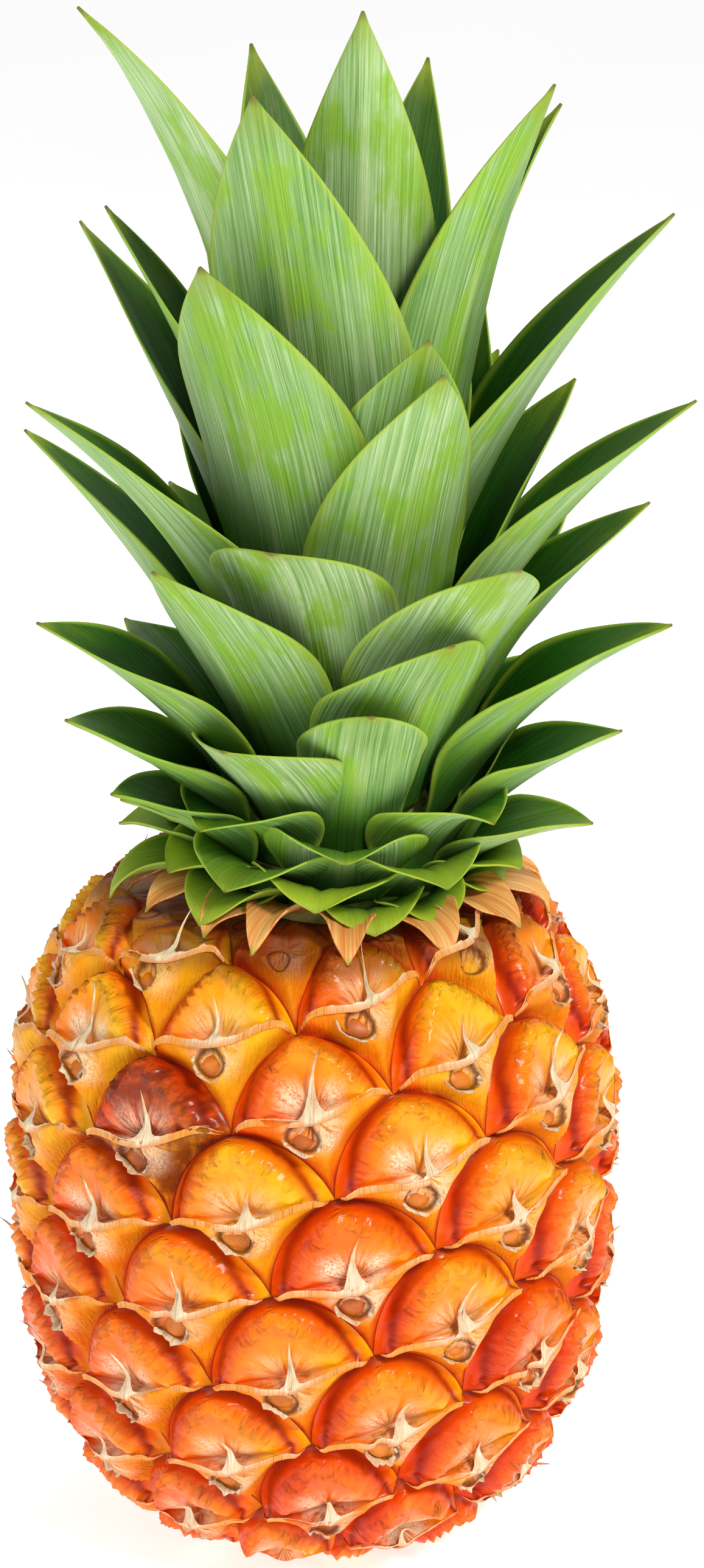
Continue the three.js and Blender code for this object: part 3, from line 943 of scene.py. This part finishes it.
# the pit under each spine, with a smooth bump inside and a papery rim round it, lowest under the spine
pit = {
    "lowest": 14,
    "highest": 124,
    "around": 26,
    "bumpRings": 9,
    "bumpSize": 0.86,
    "bumpHeight": 1.0,
    "bumpRound": 0.96,
    "bumpSunk": 0.4,
    "rimRows": 6,
    "rimFrom": 0.90,
    "rimFlare": 0.26,
    "rimTall": 1.9,
    "rimRoll": 2.2,
    "rimThick": 0.2,
    "rimSunk": 0.3,
    # how many frills go round the rim, and how tall they are
    "frills": ((5, 0.28), (11, 0.18)),
    "lowUnderSpine": 0.35,
    "lowRun": 0.9,
}


def roundPit(u0, v0, one, share, angle):
    # the smooth skin round a pit, at a share of the pit's size
    x = one["pitX"] + one["pitWide"] * share * np.cos(angle)
    y = one["pitY"] + one["pitTall"] * share * np.sin(angle)
    return smoothSkin(*latticePlaces(u0, v0, x, y))


def bumpMesh(u0, v0, one, base, angle):
    # the bump inside a pit, closed underneath, on a rind that stands at the height of base
    share = np.linspace(0, 1, pit["bumpRings"])[1:, None]
    place, out, _ = roundPit(u0, v0, one, share * pit["bumpSize"], angle)
    low = base - pit["bumpSunk"]
    high = low + pit["bumpHeight"] * np.sqrt(1 - share**2 * pit["bumpRound"])
    dome = (place + out * high[..., None]).reshape(-1, 3)
    middle, middleOut, _ = roundPit(u0, v0, one, 0, angle[:1])
    foot = middle + middleOut * low
    peak = foot + middleOut * pit["bumpHeight"]
    hoops = 1 + np.arange(len(dome)).reshape(-1, len(angle))
    ahead = np.roll(hoops, -1, 1)
    cap = np.stack([0 * hoops[0], hoops[0], ahead[0]], -1)
    under = np.stack([0 * hoops[-1] + len(dome) + 1, ahead[-1], hoops[-1]], -1)
    faces = np.concatenate([cap, under, halved(hoopFaces(hoops)[:, ::-1])])
    return np.concatenate([peak, dome, foot]), faces, {"tone": one["tone"]}


def rimMesh(u0, v0, one, base, angle):
    # the papery rim, rolled outward from the pit's wall
    reach = np.linspace(0, 1, pit["rimRows"])[:, None]
    place, out, _ = roundPit(u0, v0, one, pit["rimFrom"] + pit["rimFlare"] * reach**1.5, angle)
    frill = 1
    for index, (count, height) in enumerate(pit["frills"]):
        frill = frill + height * np.sin(count * angle + (index + 1) * one["wave"])
    tall = pit["rimTall"] * mix(pit["lowUnderSpine"], 1, smooth(1 - np.sin(angle) / pit["lowRun"]))
    rise = base - pit["rimSunk"] + tall * frill * np.sin(reach * pit["rimRoll"])
    away = place - place.mean(1, keepdims=True)
    away /= np.linalg.norm(away, axis=-1, keepdims=True)
    way = out * (0.35 + 0.65 * reach)[..., None] + away * (0.8 * (1 - reach))[..., None]
    points = twoSides(place + out * rise[..., None], way, pit["rimThick"] / 2 * (1 - 0.5 * reach))
    hoops = np.arange(rise.size).reshape(rise.shape)
    faces = hoopFaces(np.concatenate([hoops, hoops[::-1] + rise.size, hoops[:1]]))
    values = {"cross": angle * 2.4, "run": reach * 2.5, "tone": one["tone"], "tip": 0.55 + 0.5 * reach}
    return points, faces, values


def addPits(buttonMaterial, paperMaterial):
    angle = np.arange(pit["around"]) * 2 * math.pi / pit["around"]
    bumps, rims = Parts(), Parts()
    for rank, u0, v0 in fruitletPlaces(pit["lowest"], pit["highest"]):
        one = traitsOf(rank)
        centre = latticePlaces(u0, v0, np.array([one["pitX"]]), np.array([one["pitY"]]))
        base = relief(*centre)[0][0]
        bumps.add(*bumpMesh(u0, v0, one, base, angle))
        rims.add(*rimMesh(u0, v0, one, base, angle))
    for name, parts, material in (("pitButtons", bumps, buttonMaterial), ("pitRims", rims, paperMaterial)):
        points, faces, values = parts.joined()
        print(name + ":", len(faces) * (faces.shape[1] - 2), "triangles")
        addPiece(name, points, faces, material, atPoints=values)


buttonColours = [
    (0.0, paint(232, 140, 24)),
    (0.4, paint(206, 104, 16)),
    (0.8, paint(150, 66, 14)),
    (1.0, paint(104, 44, 14)),
]


def buttonFinish():
    finish = Finish("pitButton")
    cloud = finish.noise(420.0, 3.0, 0.6)
    colour = finish.ramp((0.45 * finish.value("tone") + 0.9 * (cloud - 0.3)).clip(), buttonColours)
    normal = finish.bump(finish.noise(900.0), 0.3, 0.2)
    return finish.done(Base_Color=colour, Roughness=0.36 + 0.2 * cloud, Normal=normal)


crown = {
    "leaves": 71,
    "basal": 15,
    "firstTurn": -92,
    "x": 5,
    "z": 129,
    "lean": 2.2,
    "stemFoot": 0,
    "stemHead": 66,
    "footRadius": 23,
    "headRadius": 6,
    "taper": 0.85,
    "standoff": 1.1,
    "rootDepth": 2.5,
    "leavesFrom": 0.8,
    "leavesTo": 60,
    "rootSpread": 1.75,
    "tipSpread": 0.55,
    "shallowest": 0.8,
    "fullChannelFrom": 30,
    "bluntness": 1.6,
    "lowestTip": 4,
    "highestTip": 162,
    # what the leaves share, from the lowest leaf to the innermost one
    "reach": [36, 40, 46, 50, 55, 52, 49, 45, 34],
    "arch": [20, 16, 12, 11, 10, 9, 8, 7, 6],
    "hook": [10, 8, 6, 5, 4, 2, 2, 0, 0],
    "width": [24, 28, 31, 33, 35, 36, 36, 35, 28],
}

# leaves with a character of their own: the way they point, how far out and up their tips come, how much
# they arch and hook, how wide and how blunt they are and how far they roll over on their ridge
shapedLeaves = {
    0: dict(turn=-62, reach=36, top=7, arch=50, hook=15, width=28),
    1: dict(top=10, arch=30),
    2: dict(turn=-8, reach=36, top=7, arch=62, hook=30, width=28),
    4: dict(turn=66, reach=36, top=9, arch=45, hook=15, width=28),
    5: dict(turn=-95, reach=42, top=9, arch=30),
    7: dict(turn=30, reach=37, top=11, arch=55, hook=30, width=30),
    8: dict(turn=-112, reach=37, top=9),
    9: dict(turn=110, reach=37, top=10),
    10: dict(turn=-34, reach=38, top=9, arch=50, hook=25, width=30),
    12: dict(turn=70, reach=48, top=19, arch=20, hook=0),
    13: dict(turn=-78, reach=42, top=18, arch=20, hook=0),
    15: dict(turn=0, reach=35, top=16, arch=55, hook=45, width=32),
    17: dict(turn=92, reach=33, top=22, arch=14),
    18: dict(turn=-64, reach=47, top=23, arch=20, hook=0),
    20: dict(turn=44, reach=38, top=22, arch=40, hook=30, width=33),
    21: dict(turn=-102, reach=31, top=22),
    22: dict(turn=126, reach=43, top=34, arch=10),
    23: dict(turn=-43, reach=38, top=19, arch=45, hook=20, width=33),
    25: dict(turn=78, reach=51, top=35, arch=14, hook=0),
    26: dict(turn=-70, reach=54, top=36, arch=14, roll=-8, hook=0),
    28: dict(turn=4, reach=46, top=47, blunt=3, width=25),
    29: dict(turn=-120, reach=49, top=43),
    30: dict(turn=103, reach=46, top=45),
    31: dict(turn=-28, reach=47, top=38.5, blunt=2.2),
    33: dict(turn=70, reach=60, top=58, roll=10, arch=15),
    34: dict(turn=-68, reach=60, top=55, roll=-10),
    36: dict(turn=19, reach=50, top=60.5, blunt=2.4, roll=15),
    38: dict(turn=86, reach=53, top=76, roll=10, arch=15, width=34),
    39: dict(turn=-40, reach=54, top=70, blunt=2),
    41: dict(turn=30, reach=54, top=74, blunt=2.6),
    42: dict(turn=-92, reach=60, top=84),
    43: dict(turn=124, reach=50, top=70),
    44: dict(turn=-18, reach=48, top=75, blunt=4, hook=20),
    46: dict(turn=72, reach=61, top=98, roll=10, arch=18, hook=0, width=38),
    47: dict(turn=-66, reach=63, top=95, roll=-8, arch=18, hook=0, width=40),
    49: dict(turn=16, reach=46, top=106, width=34, blunt=2.2, roll=18),
    50: dict(turn=-127, reach=45, top=98),
    51: dict(turn=112, reach=43, top=94, width=36),
    52: dict(turn=-34, reach=50, top=122, width=42, blunt=2.3),
    54: dict(turn=14, reach=42, top=111, width=34, blunt=2),
    55: dict(turn=-105, reach=53, top=120),
    56: dict(turn=140, reach=36, top=106),
    57: dict(turn=-26, reach=46, top=150, width=44, blunt=2),
    59: dict(turn=78, reach=54, top=129, roll=12, arch=14, width=40),
    60: dict(turn=-82, reach=46, top=126, roll=-14, arch=10),
    61: dict(top=118, reach=38),
    62: dict(turn=48, reach=40, top=152, width=30, hook=14, arch=3),
    63: dict(top=120, reach=32),
    64: dict(turn=85, reach=33, top=146, width=30, roll=25, hook=10),
    65: dict(turn=-32, reach=27, top=124, width=25),
    66: dict(turn=-149, reach=42, top=150),
    67: dict(turn=54, reach=22, top=122, width=24),
    68: dict(turn=-58, reach=58, top=162, width=34, hook=16),
    69: dict(turn=162, reach=35, top=149, width=28),
    70: dict(turn=-5, reach=30, top=163, width=32, blunt=1.8),
}

# the youngest leaves, rolled together at the heart of the crown
heart = {
    "reach": [13, 10.5, 8, 5.5],
    "top": [132, 124, 116, 108],
    "width": [17, 15, 13, 11],
    "arch": 4,
    "hollow": 1.4,
}

# rings of short leaves over the fruit's shoulder, the lowest of them dry, and two single ones
collars = [
    dict(count=15, turn=8, reach=40.5, top=-1.6, width=13, blunt=1.1, arch=34, hook=30, age=-0.2),
    dict(count=9, turn=2, reach=33, top=1.2, width=23, blunt=1.6, arch=50, hook=20, age=0.0),
    dict(count=1, turn=-18, reach=44, top=-2.5, width=18, blunt=1.1, arch=50, hook=26, age=-0.04),
    dict(count=1, turn=23, reach=37, top=0.2, width=22, blunt=1.4, arch=50, hook=25, age=0.02),
]

leafShape = {
    "widestAt": 0.45,
    "neckShare": 0.42,
    "claspRun": 0.25,
    "leavingHandle": 0.36,
    "arrivingHandle": 0.36,
    "steepest": 88,
    "channel": [105, 100, 90, 60, 40],
    "ridgeThick": 1.1,
    "tipThick": 0.55,
    "marginThick": 0.32,
    "tipWidth": 0.5,
    "stations": 46,
    "stationCrowding": 0.92,
    "across": 20,
    "marginCrowding": 0.8,
    "marginWave": 0.55,
    "marginWaves": (11, 9),
    "keel": 0.5,
    "keelWidth": 1.1,
    "fold": 0.10,
    "foldPitch": 3.1,
    "seed": 29,
    "collarSeed": 100,
}


def leafTraits(k):
    t = k / (crown["leaves"] - 1)
    traits = {
        "turn": crown["firstTurn"] - k * goldenAngle,
        "foot": mix(crown["leavesFrom"], crown["leavesTo"], t ** crown["rootSpread"]),
        "standoff": -crown["rootDepth"] if k < crown["basal"] else crown["standoff"],
        "reach": through(crown["reach"], t),
        "top": mix(crown["lowestTip"], crown["highestTip"], mix(t, t * t, crown["tipSpread"])),
        "arch": through(crown["arch"], t),
        "hook": through(crown["hook"], t),
        "width": through(crown["width"], t),
        "hollow": mix(crown["shallowest"], 1, min(1, k / crown["fullChannelFrom"])),
        "blunt": crown["bluntness"],
        "roll": 0,
        "age": t,
    }
    traits.update(shapedLeaves.get(k, {}))
    return traits


def heartTraits(i):
    return {
        "turn": crown["firstTurn"] - (crown["leaves"] + i) * goldenAngle,
        "foot": crown["leavesTo"],
        "standoff": -crown["rootDepth"],
        "reach": heart["reach"][i],
        "top": heart["top"][i],
        "arch": heart["arch"],
        "hook": 0,
        "width": heart["width"][i],
        "hollow": heart["hollow"],
        "blunt": crown["bluntness"],
        "roll": 0,
        "age": 1,
    }


def collarTraits(ring, i, draw):
    return {
        "turn": ring["turn"] + (i + 0.3 * draw.uniform(-1, 1)) * 360 / ring["count"],
        "foot": crown["leavesFrom"],
        "standoff": -crown["rootDepth"],
        "reach": ring["reach"] + draw.uniform(-2.5, 1.0),
        "top": ring["top"] + draw.uniform(-0.6, 1.6),
        "arch": ring["arch"] + draw.uniform(-6, 6),
        "hook": ring["hook"] + draw.uniform(-10, 10),
        "width": ring["width"] * draw.uniform(0.85, 1.1),
        "hollow": crown["shallowest"],
        "blunt": ring["blunt"],
        "roll": draw.uniform(-14, 14),
        "age": ring["age"],
    }


def stemRadius(z):
    share = np.clip((z - crown["stemFoot"]) / (crown["stemHead"] - crown["stemFoot"]), 0, 1)
    return mix(crown["footRadius"], crown["headRadius"], share ** crown["taper"])


def onFruit(points):
    # from the crown's own upright place to where it stands on the fruit
    lean = math.radians(crown["lean"])
    x = points[..., 0] * math.cos(lean) + points[..., 2] * math.sin(lean)
    z = points[..., 2] * math.cos(lean) - points[..., 0] * math.sin(lean)
    return np.stack([x + crown["x"], points[..., 1], z + crown["z"]], -1)


def bearing(degrees):
    return np.array([math.cos(math.radians(degrees)), math.sin(math.radians(degrees))])


def widthShare(leaf, s):
    widest = leafShape["widestAt"]
    rising = mix(leafShape["neckShare"], 1, np.sin(math.pi / 2 * np.clip(s / widest, 0, 1)))
    beyond = np.clip((s - widest) / (1 - widest), 0, 1)
    return np.where(s < widest, rising, 1 - beyond ** leaf["blunt"])


def channelArc(leaf, s):
    # how far round a leaf is curled: its foot clasps the stem, and beyond it is a channel
    clasp = leaf["width"] * leafShape["neckShare"] / (stemRadius(leaf["foot"]) + leaf["standoff"])
    channel = np.radians(through(leafShape["channel"], s) * leaf["hollow"])
    return mix(clasp, channel, smooth(s / leafShape["claspRun"]))


def leafRidge(leaf, s):
    # the ridge of a leaf and the way along it, outward and upward: an arc about the chord from foot to tip
    start = np.array([stemRadius(leaf["foot"]) + leaf["standoff"], leaf["foot"]])
    end = np.array([leaf["reach"], leaf["top"]], dtype=float)
    reach = np.linalg.norm(end - start)
    chord = math.degrees(math.atan2(end[1] - start[1], end[0] - start[0]))
    rise = min(leafShape["steepest"], chord + leaf["arch"])
    drop = chord - leaf["arch"] - leaf["hook"]
    leaving = start + bearing(rise) * leafShape["leavingHandle"] * reach
    arriving = end - bearing(drop) * leafShape["arrivingHandle"] * reach
    s = s[:, None]
    back = 1 - s
    ridge = back**3 * start + 3 * s * back**2 * leaving + 3 * s**2 * back * arriving + s**3 * end
    along = back**2 * (leaving - start) + 2 * s * back * (arriving - leaving) + s**2 * (end - arriving)
    return ridge, along / np.linalg.norm(along, axis=1, keepdims=True)


def leafWave(s, x, offset, draw):
    # how far a leaf's sheet strays inward: waved margins, lengthwise folds and a keel under the midrib
    phase = draw.uniform(0, 2 * math.pi, 3)
    middle = np.sin(math.pi * s)
    left, right = leafShape["marginWaves"]
    frill = np.where(x > 0, np.sin(right * s + phase[0]), np.sin(left * s + phase[1]))
    folds = np.sin(offset * 2 * math.pi / leafShape["foldPitch"] + phase[2]) * (1 - x * x)
    wave = leafShape["marginWave"] * np.abs(x) ** 3 * np.sqrt(middle) * frill
    wave = wave + leafShape["fold"] * folds * middle
    return wave - leafShape["keel"] * bell(offset, leafShape["keelWidth"]) * np.sqrt(middle)


def leafMesh(leaf, draw):
    stations = np.linspace(0, 1, leafShape["stations"] + 1) ** leafShape["stationCrowding"]
    widest = math.pi / 2 * leafShape["marginCrowding"]
    x = np.sin(np.linspace(-1, 1, leafShape["across"] + 1) * widest) / math.sin(widest)
    line, along = leafRidge(leaf, stations)
    s = stations[:, None]
    turn = math.radians(leaf["turn"])
    out = np.array([math.sin(turn), -math.cos(turn), 0])
    level = np.array([math.cos(turn), math.sin(turn), 0])
    up = np.array([0, 0, 1.0])
    above = up * along[:, :1] - out * along[:, 1:]
    roll = np.radians(leaf["roll"] * s)
    side = (level * np.cos(roll) + above * np.sin(roll))[:, None]
    inward = (above * np.cos(roll) - level * np.sin(roll))[:, None]
    arc = channelArc(leaf, s)
    width = np.maximum(leafShape["tipWidth"], leaf["width"] * widthShare(leaf, s))
    bow = (width / arc)[..., None]
    angle = (x * arc / 2)[..., None]
    offset = x * width / 2
    ridge = (out * line[:, :1] + up * line[:, 1:])[:, None]
    facing = inward * np.cos(angle) - side * np.sin(angle)
    point = ridge + side * bow * np.sin(angle) + inward * bow * (1 - np.cos(angle))
    point = point + facing * leafWave(s, x, offset, draw)[..., None]
    thick = mix(mix(leafShape["ridgeThick"], leafShape["tipThick"], s), leafShape["marginThick"], x * x)
    length = np.linalg.norm(np.diff(line, axis=0), axis=1).sum()
    values = {"along": s, "offset": offset, "margin": x}
    values.update(length=length, tone=draw.random(), age=leaf["age"])
    return onFruit(twoSides(point, -facing, thick / 2)), ribbonFaces(*offset.shape), values


def innerCorners(faces):
    # 0 on a leaf's outer face, 1 on its inner face and a half on the wall between them
    grid = (leafShape["stations"] + 1) * (leafShape["across"] + 1)
    corners = (faces >= grid).astype(float)
    corners[2 * leafShape["stations"] * leafShape["across"]:] = 0.5
    return corners


def rootedLeaves():
    leaves = [(leafTraits(k), k) for k in range(crown["basal"])]
    leaves += [(heartTraits(i), crown["leaves"] + i) for i in range(len(heart["reach"]))]
    draw = np.random.default_rng(leafShape["seed"])
    for ring in collars:
        leaves += [(collarTraits(ring, i, draw), leafShape["collarSeed"] + i) for i in range(ring["count"])]
    return leaves


def addLeaves(name, node, leaves, material):
    # one piece of one or more leaves, each with the number that its own draws start from
    parts, inner = Parts(), []
    for leaf, k in leaves:
        points, faces, values = leafMesh(leaf, np.random.default_rng(leafShape["seed"] + k))
        parts.add(points, faces, values)
        inner.append(innerCorners(faces))
    points, faces, values = parts.joined()
    corners = {"inner": np.concatenate(inner)}
    addPiece(name, points, faces, material, atPoints=values, atCorners=corners, replaces=(node,))
    return 2 * len(faces)


stem = {
    "foot": 0.2,
    "rings": 60,
    "around": 64,
    "cap": 3,
    "roughness": 0.3,
}


def addStem(material):
    walls = np.linspace(stem["foot"], crown["stemHead"], stem["rings"])
    z = np.concatenate([walls[:1], walls, walls[-1:] + stem["cap"]])[:, None]
    angle = np.arange(stem["around"]) * 2 * math.pi / stem["around"]
    r = stemRadius(z) + stem["roughness"] * np.sin(z * 2.1 + 2 * np.sin(angle * 3))
    r[0], r[-1] = 0, 0
    points = np.stack([r * np.cos(angle), r * np.sin(angle), z + 0 * r], -1)
    hoops = np.arange(r.size).reshape(r.shape)
    hoops[0], hoops[-1] = hoops[0, 0], hoops[-1, 0]
    faces = halved(hoopFaces(hoops))
    used, packed = np.unique(faces[isWhole(faces)], return_inverse=True)
    points = onFruit(points).reshape(-1, 3)[used]
    addPiece("crownStem", points, packed.reshape(-1, 3), material, replaces=("crown_stem",))


def addCrown(leafMaterial, stemMaterial):
    total = 0
    for k in range(crown["basal"], crown["leaves"]):
        total += addLeaves(f"crownLeaf{k}", f"crown_leaf_{k}", [(leafTraits(k), k)], leafMaterial)
    total += addLeaves("rootedLeaves", "crown_stem", rootedLeaves(), leafMaterial)
    addStem(stemMaterial)
    print("crown:", total, "triangles")


leafColours = {
    # the outer face, from a stripe's dark side to its light side
    "bloom": [
        (0.25, paint(60, 112, 26)),
        (0.42, paint(118, 166, 78)),
        (0.56, paint(168, 204, 132)),
        (0.74, paint(222, 238, 190)),
    ],
    "fresh": (paint(96, 168, 14), paint(180, 218, 70)),
    "freshCover": 0.85,
    "fineStripe": (0.40, paint(70, 122, 34)),
    # a pale line on the midrib, part the leaf's own colour and part a painted highlight on the crease
    "midrib": (0.50, paint(206, 226, 158)),
    # darker to the foot: part the leaf's deeper green, part painted shade
    "footGreenAndShade": (paint(26, 72, 8), paint(66, 126, 34)),
    "footGreenAndShadeCover": 0.95,
    # the inner face
    "glossy": [
        (0.25, paint(14, 58, 6)),
        (0.5, paint(34, 92, 14)),
        (0.8, paint(66, 128, 34)),
    ],
    "innerTip": (0.50, paint(90, 120, 26)),
    # the inner face darker to the foot, part its own colour and part painted shade
    "innerFootGreenAndShade": (0.80, paint(10, 36, 4)),
    # both faces
    "margin": (0.80, paint(166, 196, 60)),
    "young": (0.80, paint(176, 196, 44)),
    "papery": (paint(234, 128, 58), paint(254, 196, 124)),
    "paperyCover": 0.92,
    "dry": (0.70, paint(142, 164, 36)),
    "end": (0.80, paint(120, 100, 40)),
}


def outerLeaf(finish, here):
    # a pale bloom with fine stripes and fresh patches, deeper green to the foot, which is partly the leaf's
    # own colour and partly painted shade where the leaves overlap
    light = (here.stripe * 0.65 + 0.25 * here.cloud + 0.12 * here.tone).clip()
    colour = finish.ramp(light, leafColours["bloom"])
    fresh = finish.blend(here.stripe, *leafColours["fresh"])
    colour = finish.cover(colour, here.patch.ease(0.47, 0.60), (leafColours["freshCover"], fresh))
    colour = finish.cover(colour, here.fineStripe.ease(0.52, 0.36), leafColours["fineStripe"])
    # pale midrib: part its own colour, part a painted highlight along the crease
    midrib = here.offset.hump(0.0, 1.5) * here.along.ease(0.95, 0.6) * here.fineStripe.ease(0.35, 0.6)
    colour = finish.cover(colour, midrib, leafColours["midrib"])
    # the foot darkened: part its own deeper green, part painted shade
    footGreenAndShade = finish.blend(here.stripe, *leafColours["footGreenAndShade"])
    return finish.cover(colour, here.along.ease(0.55, 0.10), (leafColours["footGreenAndShadeCover"], footGreenAndShade))


def innerLeaf(finish, here):
    colour = finish.ramp((here.stripe * 0.7 + 0.3 * here.cloud).clip(), leafColours["glossy"])
    colour = finish.cover(colour, here.along.ease(0.6, 1.0), leafColours["innerTip"])
    # darker to the foot: part deeper green, part painted shade
    return finish.cover(colour, here.along.ease(0.5, 0.1), leafColours["innerFootGreenAndShade"])


def leafFinish():
    finish = Finish("crownLeaf")
    here = finish.values("along", "offset", "margin", "length", "tone", "age", "inner")
    run = here.along * here.length
    seed = 90 * here.tone
    here.stripe = finish.noise(1.0, 3.0, 0.6, at=finish.point(here.offset * 2.6, run * 0.028, seed))
    here.fineStripe = finish.noise(1.0, 3.0, 0.7, at=finish.point(here.offset * 6.5, run * 0.05, seed + 7))
    here.cloud = finish.noise(0.075, 4.0, 0.6, at=finish.point(here.offset, run * 0.45, seed))
    here.patch = finish.noise(0.11, 4.0, 0.65, at=finish.point(here.offset + 40, run * 0.4, seed + 21))

    # the lowest leaves are paler inside too
    onInner = here.inner.ease(0.4, 0.6) * (0.88 + 0.12 * here.age.ease(0.12, 0.3))
    colour = finish.blend(onInner, outerLeaf(finish, here), innerLeaf(finish, here))
    # margins, young yellow leaves at the foot, papery ones over the shoulder, and dry tips
    colour = finish.cover(colour, abs(here.margin).ease(0.86, 1.0), leafColours["margin"])
    young = here.age.ease(0.22, 0.0) * here.along.ease(0.30, 0.90)
    colour = finish.cover(colour, young, leafColours["young"])
    papery = finish.blend(here.stripe.ease(0.3, 0.7), *leafColours["papery"])
    colour = finish.cover(colour, here.age.ease(-0.08, -0.16), (leafColours["paperyCover"], papery))
    dry = here.along.ease(0.90, 1.0) + 0.6 * here.along.ease(0.7, 1.0) * here.patch.ease(0.5, 0.7)
    colour = finish.cover(colour, dry, leafColours["dry"])
    colour = finish.cover(colour, here.along.ease(0.98, 1.0), leafColours["end"])

    normal = finish.bump(here.stripe, 0.5, 0.45)
    normal = finish.bump(here.fineStripe, 0.35, 0.2, normal)
    rough = 0.50 - 0.14 * here.inner + 0.2 * (here.cloud - 0.5) + 0.1 * here.fineStripe
    return finish.done(Base_Color=colour, Roughness=rough.clip(), Normal=normal, Specular_IOR_Level=0.28)


stemColours = [
    (0.3, paint(96, 112, 40)),
    (0.5, paint(168, 176, 88)),
    (0.75, paint(214, 206, 140)),
]


def stemFinish():
    finish = Finish("crownStem")
    cloud = finish.noise(160.0, 4.0, 0.6)
    colour = finish.ramp(cloud, stemColours)
    return finish.done(Base_Color=colour, Roughness=0.7 + 0.1 * cloud, Normal=finish.bump(cloud, 0.6, 0.5))


def build():
    addCamera()
    addWorld()
    addLamps()
    addFloor()
    print("studio ready")
    paper = paperFinish()
    addRind(rindFinish())
    addBractTips(paper)
    addPits(buttonFinish(), paper)
    print("fruit ready")
    addCrown(leafFinish(), stemFinish())
    print("crown ready")


build()
